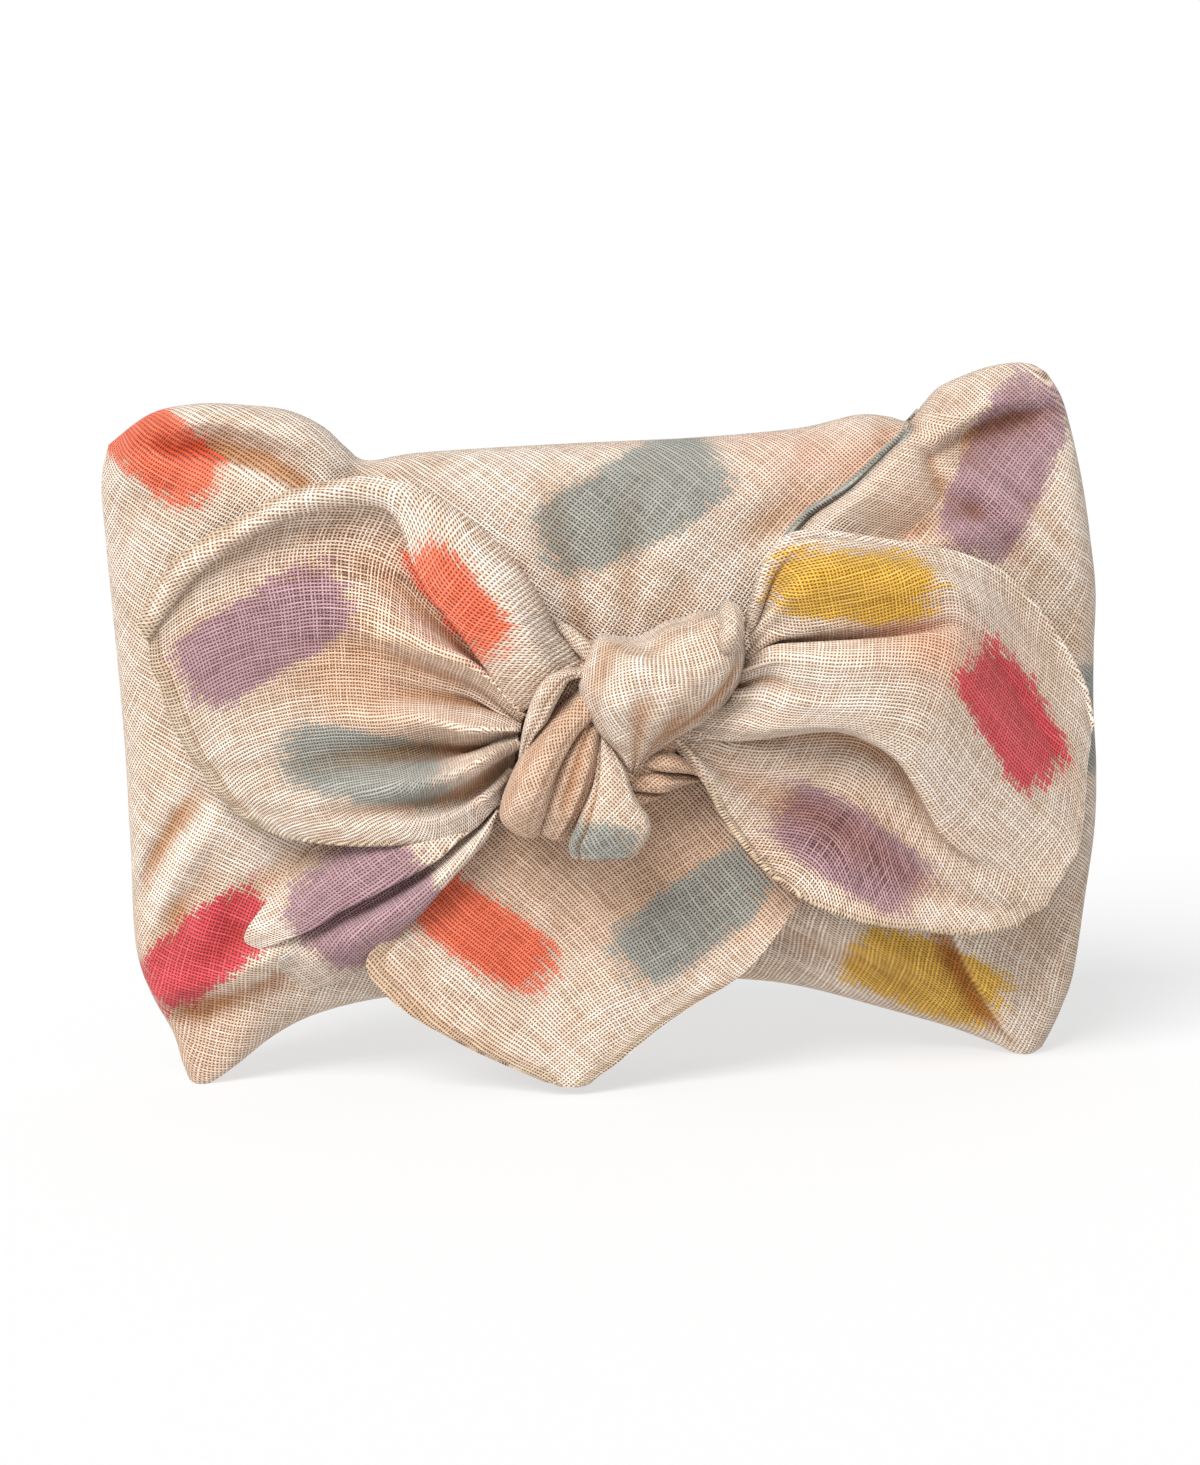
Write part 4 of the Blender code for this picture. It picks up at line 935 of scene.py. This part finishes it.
# %% The right leaf's lines
RIGHT_LEAF = [
    Line("rim", [(36.8, 118, -43), (39.3, 127, -45.9), (42.4, 135.7, -47.4), (48.6, 142, -46),
        (57.6, 142.4, -44.4), (66.7, 140.8, -42.6), (75.8, 138.9, -40.7), (84.8, 136.9, -38.7),
        (93.8, 134.1, -36.2), (102.2, 129.6, -33.4), (109, 122.8, -30.7), (114.7, 115.1, -28.5),
        (119.7, 106.9, -26.9), (123.7, 98.1, -25.6), (125.4, 88.8, -25)]),
    Line("rolled rim", [(37.7, 118.3, -46), (40.4, 127.1, -49.5), (43.7, 135.3, -50), (50.5, 140.5, -47.4),
        (59.3, 140.6, -45.4), (68.1, 138.9, -43.7), (76.9, 137, -41.8), (85.7, 134.9, -39.8),
        (94.4, 131.8, -37.1), (102.1, 126.5, -33.8), (108.4, 119.5, -30.8), (113.9, 111.8, -28.6),
        (118.7, 103.8, -26.9), (122.8, 95.4, -25.5), (124.9, 86.4, -25)]),
    Line("inside the roll", [(38.4, 117.3, -42.5), (41.8, 125.6, -46.2), (45.9, 133.3, -48.3),
        (52.5, 138.3, -48.7), (61, 138.2, -47.8), (69.6, 136.4, -46.3), (78.1, 134.5, -44.5),
        (86.6, 132, -42.4), (94.9, 128.5, -39.3), (101.8, 122.4, -35.7), (107.7, 115.1, -32.1),
        (112.9, 107.5, -29.4), (117.6, 99.5, -27.2), (121.9, 91.4, -25.7), (124.3, 82.7, -25)]),
    Line("petal crest", [(38.7, 116.6, -45), (43.5, 123.6, -49.2), (49.2, 129.6, -51.6),
        (56.6, 132.9, -52), (64.8, 132.8, -51.1), (72.9, 131.6, -49.6), (81.2, 130.2, -47.7),
        (89.3, 127.9, -45.4), (96.6, 123.3, -42), (102.4, 116.6, -37.9), (107.3, 109.2, -34.6),
        (111.9, 101.6, -31.4), (116.4, 93.9, -28.7), (120.5, 86.1, -26.8), (123.5, 77.9, -25.5)]),
    Line("petal slope", [(37.2, 111.8, -44.5), (43.5, 116.8, -47.8), (51, 118.7, -48.4),
        (58.9, 119.5, -47.8), (66.8, 119.8, -46.9), (74.7, 120.3, -45.9), (82.5, 121.1, -45),
        (90.4, 122, -43.9), (97.1, 117.6, -41), (101.9, 110.6, -37.8), (106.2, 103.2, -34.7),
        (110.7, 95.9, -31.8), (115.2, 88.6, -29.3), (119.6, 81.4, -27.3), (123.1, 73.7, -26)]),
    Line("petal valley", [(37, 109.6, -40.5), (43.7, 113.4, -41.1), (51.4, 114.1, -41.7),
        (59.2, 114.5, -42.3), (66.9, 114.9, -42.7), (74.7, 115.4, -43), (82.4, 116.4, -43.3),
        (90.1, 117.5, -43), (96.2, 112.2, -40.2), (100.7, 105.2, -37.5), (105, 97.9, -34.6),
        (109.4, 90.7, -31.7), (114, 83.6, -29.3), (118.9, 76.9, -27.6), (122.7, 69.5, -26.3)]),
    Line("fold upper edge", [(36.7, 109.6, -44), (43.3, 113.9, -49.3), (51, 114.7, -51.4),
        (58.7, 115, -52), (66.5, 115.3, -51.8), (74.3, 115.6, -50.9), (82.2, 116.1, -49.1),
        (90.1, 115.1, -46.1), (95.8, 108.9, -42.2), (100.3, 101.7, -38.8), (104.7, 94.3, -35.6),
        (109.1, 87, -32.5), (113.7, 79.8, -30), (118.3, 72.7, -28.1), (122.2, 65.3, -26.8)]),
    Line("fold crest", [(36, 108.3, -47), (43, 111.1, -51.9), (50.3, 111.1, -55.1), (57.7, 110.5, -56.3),
        (65.1, 110.1, -56.5), (72.6, 110.1, -55.8), (80.2, 109.8, -53.9), (87.4, 107.1, -50.7),
        (92.4, 100.7, -47.1), (96.8, 93.8, -43.5), (101.5, 87, -39.9), (106.5, 80.3, -36.3),
        (111.8, 73.9, -32.8), (117.3, 67.6, -29.5), (121.4, 60.5, -27.5)]),
    Line("fold middle", [(35.2, 105.1, -43), (41.9, 107.1, -47.7), (48.5, 105.4, -52.1),
        (55.5, 104.5, -54.2), (62.6, 104.3, -55), (69.8, 103.5, -54.8), (76.8, 101.6, -53.4),
        (83.2, 97.5, -50.6), (88.3, 91.7, -47.1), (93.2, 85.4, -43.2), (98.5, 79.4, -39.3),
        (104.3, 73.8, -35.6), (110.4, 68.6, -32.1), (116, 62.9, -29.4), (120.1, 56.3, -28)]),
    Line("fold lower crest", [(32.6, 101.1, -46), (39.4, 100.4, -49.8), (46.1, 99.4, -52.3),
        (53, 98.8, -53.7), (59.9, 98, -54.4), (66.6, 96.1, -54.3), (72.6, 92.3, -52.9),
        (77.6, 86.8, -50.8), (81.9, 80.6, -47.9), (86.5, 74.4, -44.3), (92.1, 69, -40.5),
        (98.7, 65.1, -37), (105.6, 61.8, -33.5), (112.5, 58.3, -30.6), (118.1, 53.5, -28.7)]),
    Line("fold lower edge", [(22.5, 94, -43), (29.8, 92.3, -46.4), (37.4, 92, -48.2), (45.1, 92.5, -49.3),
        (52.7, 93.2, -49.9), (60.3, 93, -50.3), (67.4, 90.2, -50.4), (73.8, 85.6, -49.4),
        (78.3, 78.8, -47.1), (82.2, 71.4, -43.8), (86.5, 64, -40.2), (93.3, 59.3, -37.2),
        (101.1, 56.9, -34.2), (109.1, 54.6, -31.2), (115.9, 50, -29.3)]),
    Line("under the fold", [(23.3, 94.3, -38.5), (30.8, 92.3, -38.1), (38.6, 91.9, -37.9),
        (46.4, 92.4, -37.6), (54.2, 93.1, -37.2), (61.9, 92.4, -37), (69, 89, -37), (74.7, 83.7, -37),
        (78.6, 76.9, -37), (81.8, 69.6, -37), (85.5, 62.5, -36.8), (91.5, 57.1, -35.7),
        (98.9, 53.6, -33.9), (106.7, 51, -31.6), (113.9, 47, -29.5)]),
    Line("lobe crease", [(20.8, 93.1, -41), (27.9, 90.7, -40.9), (35.3, 89.1, -40.3), (42.6, 87.3, -39.4),
        (49.8, 84.9, -38.3), (56.9, 82.1, -37.3), (63.9, 79.1, -36.6), (70.3, 75.2, -36.1),
        (75.3, 69.6, -36), (79.6, 63.2, -36.1), (84.4, 57.4, -36.1), (90.5, 52.7, -35.3),
        (97.5, 49.4, -33.7), (104.9, 46.6, -31.7), (112.3, 44, -29.7)]),
    Line("lobe bowl", [(19.5, 92.3, -43), (25.3, 87.7, -41.9), (31.6, 83.5, -40.1), (38, 79.5, -38.5),
        (44.4, 75.6, -37.1), (51, 72, -35.9), (57.5, 68.1, -35), (63.7, 63.9, -34.2), (69.6, 59.4, -34),
        (75.5, 54.8, -34), (81.7, 50.6, -33.9), (88.2, 47.1, -33.5), (95.4, 44.7, -32.7),
        (102.9, 43.5, -31.2), (110.4, 42.3, -29.5)]),
    Line("lobe hem", [(18.5, 92, -43.5), (23.3, 86.1, -43.8), (27.6, 79.7, -43.5), (31.8, 73.1, -42.7),
        (36.6, 67, -41.8), (42, 61.4, -40.9), (48.1, 56.5, -39.9), (54.7, 52.4, -39), (61.7, 49, -38.2),
        (69.1, 46.5, -37.4), (76.7, 44.9, -36.5), (84.3, 43.4, -35.5), (92.1, 42.3, -34.3),
        (99.9, 41.6, -32.5), (107.8, 41.4, -30)]),
    Line("lower edge", [(17.5, 91.5, -42), (22.2, 85.6, -43.1), (26.7, 79.3, -43.5), (30.3, 72.4, -43.5),
        (34.4, 65.7, -43.1), (39.2, 59.5, -42.3), (44.8, 53.9, -41.4), (51.2, 49.2, -40.4),
        (58.2, 45.5, -39.3), (65.6, 42.8, -38.2), (73.3, 41.2, -37.1), (81.1, 39.8, -36),
        (88.9, 38.4, -35), (96.8, 38.2, -33.3), (104.6, 39.4, -31)]),
]
right_grid = leaf_grid(RIGHT_LEAF, 190, 10, rib=0.8, seed=51)
add_sheet("right_leaf", right_grid, {"last": 0.1},
          opened=0.75 * oval(right_grid, 62, 60, 22, 15))

# %% [markdown]
# ## The knot
# Each strand of the knot is the cloth gathered into a soft rope: a ring whose left and right sides are read
# off its two outlines, swelling forward and back between them. Long creases run down it. Rings could be
# swept along a curve with a bevel, but a strand's width changes too much for that.


# %% A gathered strand
FULLNESS = 0.85  # below 1 a strand's ovals are fuller at their corners
CREASE_ENDS = 0.12  # share of the length in which a crease fades in or out
RUCKS = (3, 4, 5, 7, 9, 12, 15)  # small ridges round the strand, in waves to a turn
BIAS, TIGHT = 45, -0.3  # degrees that the threads are turned; how tight they lie
CREASE_DEEP = 1.4  # mm of a full hollow


def add_strand(name, rings, rows=110, sides=96, creases=(), seed=0, ruck=0.5, tips=(0.07, 0.07)):
    """A closed strand of ovals between two outlines, creased along its length and round at its tips.

    Round each oval the cosine gives the place across and the sine the depth, both to the power FULLNESS.
    creases are (start, end, depth, width, first, last): places round the front from 0 at the left side to 1
    at the right, and the shares of the length between which they fade in and out.
    """
    share = np.linspace(0, 1, rows)
    x0, z0, x1, z1, y, front, back = np.moveaxis(smooth_rows(rings, share)[:, None], -1, 0)
    turn = np.linspace(0, 2 * np.pi, sides, endpoint=False)[None]
    narrow = np.sqrt(1 - (1 - np.clip(share / tips[0], 0.02, 1)) ** 2) * np.sqrt(
        1 - (1 - np.clip((1 - share) / tips[1], 0.02, 1)) ** 2)
    wide, deep = (np.sign(w) * abs(w) ** FULLNESS for w in (np.cos(turn), np.sin(turn)))
    swell = np.where(deep > 0, front, back)
    middle = np.stack([(x0 + x1) / 2, y, (z0 + z1) / 2], -1)
    radius = np.stack([-(x1 - x0) / 2 * wide, -swell * deep, -(z1 - z0) / 2 * wide], -1)
    radius = radius * narrow[:, None, None]
    round_front = turn / np.pi
    height = np.zeros((rows, sides))
    for start, end, depth, width, first, last in creases:
        at = start + (end - start) * share[:, None]
        fade = np.clip((share - first) / CREASE_ENDS, 0, 1) * np.clip((last - share) / CREASE_ENDS, 0, 1)
        height = height + fade[:, None] * depth * np.exp(-((round_front - at) / width) ** 2)
    pick = np.random.default_rng(seed)
    for cycles in RUCKS:
        height = height + ruck / np.sqrt(cycles) * pick.uniform(0.5, 1) * np.cos(
            cycles * turn + pick.uniform(-4, 4) * share[:, None] + pick.uniform(0, 6.3)
            + 1.2 * np.sin(pick.uniform(2, 5) * share[:, None] + pick.uniform(0, 6.3)))
    length = np.maximum(np.linalg.norm(radius, axis=2, keepdims=True), 1e-6)
    grid = middle + radius * (1 + height[..., None] * narrow[:, None, None] / np.maximum(length, 2))
    index = np.arange(rows * sides).reshape(rows, sides)
    after = np.roll(index, -1, axis=1)
    faces = np.stack([index[:-1], after[:-1], after[1:], index[1:]], axis=-1).reshape(-1, 4).tolist()
    faces += [index[0].tolist(), index[-1].tolist()]
    points = grid.reshape(-1, 3)
    along = lengths(grid, 0)
    fields = dyed(points, BARS.get(name, []))
    rolled = np.roll(grid, sides // 4, axis=1)  # so that the threads' seam falls at the back
    place = lengths(rolled, 1)
    place = np.roll(place - place[:, sides // 2:sides // 2 + 1], -(sides // 4), axis=1)
    fields["cloth_mm"] = on_cloth(along.mean(axis=1, keepdims=True) + 0 * place, place, BIAS)
    fields["open"] = np.full(len(points), TIGHT)
    # painted shade in the strand's creases and painted highlight on its rucks
    fields["hollow"] = np.clip(-height / CREASE_DEEP, -1, 1).ravel()
    piece = add_mesh(name, points, faces, fields, linen)


# %% The strands' rings
KNOT_CORE = [
    Ring(-19.8, 104, -20.9, 75.9, -32, 6, 8), Ring(-12, 110.9, -10.6, 71.9, -33.7, 9.3, 8),
    Ring(-2.9, 115.7, 0.5, 73.3, -34.7, 11.3, 8), Ring(7.2, 116.1, 11.2, 77.4, -35, 12, 8),
    Ring(17.3, 116.4, 18.9, 85.6, -34.7, 11.3, 8), Ring(27.4, 117.4, 26.5, 94, -33.8, 9.5, 8),
    Ring(37.3, 114.7, 34.4, 102.1, -33, 7, 8),
]
UPPER_PLEAT = [
    Ring(7.4, 88.3, 7.2, 85.3, -40, 4, 6), Ring(10.9, 88, 10.5, 85, -42, 4.7, 6.7),
    Ring(14.4, 89, 13.5, 84.1, -43.3, 5.2, 7), Ring(17.8, 88.3, 16.7, 83.6, -44, 5.5, 7),
    Ring(21, 86.3, 20, 83.1, -42.7, 5.2, 6.3), Ring(23.8, 83.6, 23.2, 82.2, -40.3, 4.3, 5.3),
    Ring(26.8, 80.8, 26.3, 80.3, -37, 3, 4),
]
LOWER_PLEAT = [
    Ring(4.2, 84.6, 5.1, 79.4, -38, 5, 6), Ring(7.9, 84.3, 8.4, 78.4, -39.3, 5.7, 6.7),
    Ring(11.6, 84, 12, 78, -40.3, 6, 7), Ring(15.2, 83.4, 15.5, 78.1, -41, 6, 7),
    Ring(18.9, 82.6, 19, 79.1, -39.7, 5.3, 6.3), Ring(22.6, 81.7, 22.5, 79.7, -37.7, 4.3, 5.3),
    Ring(26.3, 80.5, 26.1, 80, -35, 3, 4),
]
LAST_PLEAT = [
    Ring(2.6, 80.8, 5, 76.6, -36, 4, 5), Ring(5.3, 80, 7.1, 75.3, -37.2, 4.8, 5.8),
    Ring(8.1, 79, 9.5, 74.7, -37.8, 5, 6), Ring(10.9, 78.1, 12, 75.3, -37.6, 4.6, 5.6),
    Ring(13.7, 77.4, 14.4, 76.2, -36.4, 3.8, 4.8), Ring(16.7, 77.4, 16.6, 77.1, -34, 3, 4),
]
UPPER_STRAND = [
    Ring(-11, 122.7, -10.1, 118.8, -36, 2, 4), Ring(-8.5, 121.5, -8.2, 117.4, -38, 2.7, 4.7),
    Ring(-5.9, 120.3, -6.5, 115.7, -40, 3.2, 5), Ring(-3.7, 118.7, -4.8, 114, -42, 3.5, 5),
    Ring(-1.8, 116.7, -3.1, 112.2, -42.7, 3.5, 5), Ring(-0.1, 114.5, -1.7, 110.1, -43, 3.3, 4.7),
    Ring(1.7, 112.2, 0, 108.2, -43, 3, 4),
]
LOOP = [
    Ring(0.6, 111.1, 1, 107, -42, 3, 4), Ring(-3.8, 110.7, -3, 108.1, -44.7, 3.7, 4.7),
    Ring(-8.3, 110.8, -7, 108.1, -47.3, 4.2, 5.3), Ring(-12.4, 109.3, -9.3, 105.2, -50, 4.5, 6),
    Ring(-15.4, 106.1, -11.3, 101.7, -50.7, 4.5, 6), Ring(-17.3, 102, -13.1, 98.1, -50.7, 4.5, 6),
    Ring(-18.7, 97.6, -15.8, 94.9, -50, 4.5, 6), Ring(-19.8, 92.8, -18.1, 91.1, -47.3, 4.2, 5.3),
    Ring(-20.7, 87.9, -19.8, 87, -44.7, 3.7, 4.7), Ring(-21.7, 83.1, -20.7, 82.5, -42, 3, 4),
]
THIRD_BAND = [
    Ring(-3.3, 98.4, 0.6, 96.4, -42, 6, 7), Ring(-5.7, 95.3, -0.1, 92.6, -43.9, 6.9, 7.6),
    Ring(-8.1, 92.3, -0.7, 88.8, -45.5, 7.8, 8), Ring(-10.2, 89, -1.3, 84.8, -46.8, 8.4, 8),
    Ring(-12, 85.4, -2.3, 80.9, -47, 8.5, 8), Ring(-13.6, 81.6, -3.8, 77, -46.8, 8.4, 7.9),
    Ring(-15, 77.7, -5.6, 73.1, -45.9, 7.8, 7.2), Ring(-16.3, 73.5, -7.9, 69.4, -44.2, 6.4, 6.2),
    Ring(-17.2, 69.2, -10.6, 65.9, -42, 4.5, 5),
]
SECOND_BAND = [
    Ring(-3, 107.2, 1.7, 99.9, -42, 6, 8), Ring(-6.2, 104.1, -1, 97.6, -43.8, 7.2, 8.6),
    Ring(-9.7, 101.4, -3.9, 95.3, -45.5, 8.4, 9), Ring(-13, 98.4, -6.2, 92.6, -47, 9.6, 9),
    Ring(-15.9, 95, -8, 89.4, -47.9, 10.4, 9), Ring(-18.6, 91.3, -9.8, 86.1, -48.5, 11, 9),
    Ring(-21.1, 87.4, -11.2, 82.6, -48.5, 11, 9), Ring(-23.2, 83.3, -12.5, 79, -48.2, 10.6, 8.8),
    Ring(-25, 78.8, -13.8, 75.3, -47.3, 9.4, 8.2), Ring(-25.8, 74, -15.1, 71.4, -45.4, 7.4, 7.2),
    Ring(-24, 69.6, -16, 67.2, -43, 5, 6),
]
TONGUE = [
    Ring(0, 95.1, 1.5, 93, -43, 4, 4), Ring(-0.6, 91.6, 3.4, 89.9, -45.2, 4.6, 4.6),
    Ring(-1.2, 88.1, 5.2, 86.8, -47.3, 5.1, 5), Ring(-1.8, 84.5, 6.6, 83.4, -49, 5.3, 5),
    Ring(-2.8, 81, 7.6, 79.9, -50.4, 5.5, 5), Ring(-4.2, 77.6, 9.4, 76.6, -51.6, 5.5, 5),
    Ring(-5.7, 74.1, 11.4, 73.4, -52.2, 5.3, 5), Ring(-7.2, 70.6, 11.7, 69.8, -52.4, 5.1, 5),
    Ring(-8.7, 66.9, 9.7, 66.4, -51.8, 4.3, 4.3), Ring(-7.9, 63.2, 7.3, 63.2, -51, 3.5, 3.5),
]
CAP = [
    Ring(30, 123.8, 35.4, 123.1, -44, 5, 6), Ring(25.7, 123.6, 36.2, 119.8, -43.8, 8.5, 7.5),
    Ring(21.6, 121.9, 36.6, 116.5, -43.5, 12, 9), Ring(17.3, 121.1, 36.8, 113.1, -43.2, 14.5, 10),
    Ring(13.4, 119, 36.4, 109.8, -43, 17, 11), Ring(9.4, 117.4, 35.5, 106.6, -42.5, 18.5, 11.5),
    Ring(5, 117.7, 33.8, 103.6, -42, 20, 12), Ring(0.7, 118.2, 31.9, 100.8, -41.5, 20.5, 12),
    Ring(-1.6, 115.2, 29.4, 98.5, -41, 21, 12), Ring(-3.5, 111.2, 26.7, 96.6, -41, 20, 11.5),
    Ring(-5, 107, 23.8, 94.9, -41, 19, 11), Ring(-4.6, 102.7, 20.9, 93.3, -41, 17, 10),
    Ring(-3, 98.6, 18, 91.6, -41, 15, 9), Ring(-1, 94.6, 15.3, 89.6, -41.5, 12.5, 8),
    Ring(1.9, 91.4, 12.7, 87.7, -42, 10, 7), Ring(4.7, 88.1, 10.2, 85.6, -43, 7.5, 6),
    Ring(6.9, 84.3, 7.9, 83.3, -44, 5, 5),
]
EAR_ROLL = [
    Ring(31.5, 126.6, 33.5, 127, -47, 3, 4), Ring(30.6, 125.4, 35, 125.8, -50, 4.5, 5.5),
    Ring(30.3, 123.9, 35.8, 124.1, -52.5, 5.5, 6.5), Ring(30.2, 122.4, 36.1, 122.1, -54.5, 6, 7),
    Ring(30.3, 120.8, 36.2, 120, -56, 6, 7), Ring(30, 119.1, 35.7, 117.9, -56.8, 5.2, 6.2),
    Ring(29.8, 117.3, 34.8, 115.9, -56.5, 4.5, 5.5), Ring(29.4, 115.5, 33.3, 114.3, -55.5, 3.7, 4.8),
    Ring(29.6, 113.5, 31.3, 113.2, -54, 3, 4),
]

# %% The knot's strands
add_strand("knot_core", KNOT_CORE, rows=60, sides=64, seed=1)
add_strand("upper_pleat", UPPER_PLEAT, rows=70, sides=64, seed=2, ruck=0.25)
add_strand("lower_pleat", LOWER_PLEAT, rows=70, sides=64, seed=3, ruck=0.25)
add_strand("last_pleat", LAST_PLEAT, rows=60, sides=48, seed=13, ruck=0.2)
add_strand("upper_strand", UPPER_STRAND, rows=60, sides=48, seed=4, ruck=0.25)
add_strand("loop", LOOP, rows=120, sides=64, seed=5, ruck=0.2, creases=[(0.6, 0.5, -0.6, 0.08, 0.1, 0.9)])
add_strand("third_band", THIRD_BAND, seed=6, ruck=0.25,
           creases=[(0.45, 0.5, -0.9, 0.06, -0.2, 0.8), (0.75, 0.7, -0.6, 0.05, 0.3, 1.2)])
add_strand("second_band", SECOND_BAND, seed=7, ruck=0.2,
           creases=[(0.9, 0.75, -0.8, 0.05, -0.2, 0.7), (0.3, 0.2, -0.5, 0.1, 0.1, 0.9)])
add_strand("tongue", TONGUE, seed=8, ruck=0.2, tips=(0.07, 0.03),
           creases=[(0.22, 0.2, -1.2, 0.04, -0.2, 1.2)])
add_strand("cap", CAP, rows=170, sides=128, seed=9, ruck=0.35, tips=(0.1, 0.05),
           creases=[(0.35, 0.62, -1.0, 0.05, 0.45, 1.2), (0.8, 0.8, -1.2, 0.05, 0.2, 0.8),
                    (0.55, 0.8, -0.9, 0.04, 0.5, 1.2), (0.1, 0.3, -0.9, 0.06, 0.3, 0.7),
                    (0.6, 0.5, 0.8, 0.12, 0.1, 0.6), (0.93, 0.85, -0.9, 0.03, 0.25, 0.9)])
add_strand("ear_roll", EAR_ROLL, rows=80, sides=64, seed=10, ruck=0.2, tips=(0.16, 0.3))
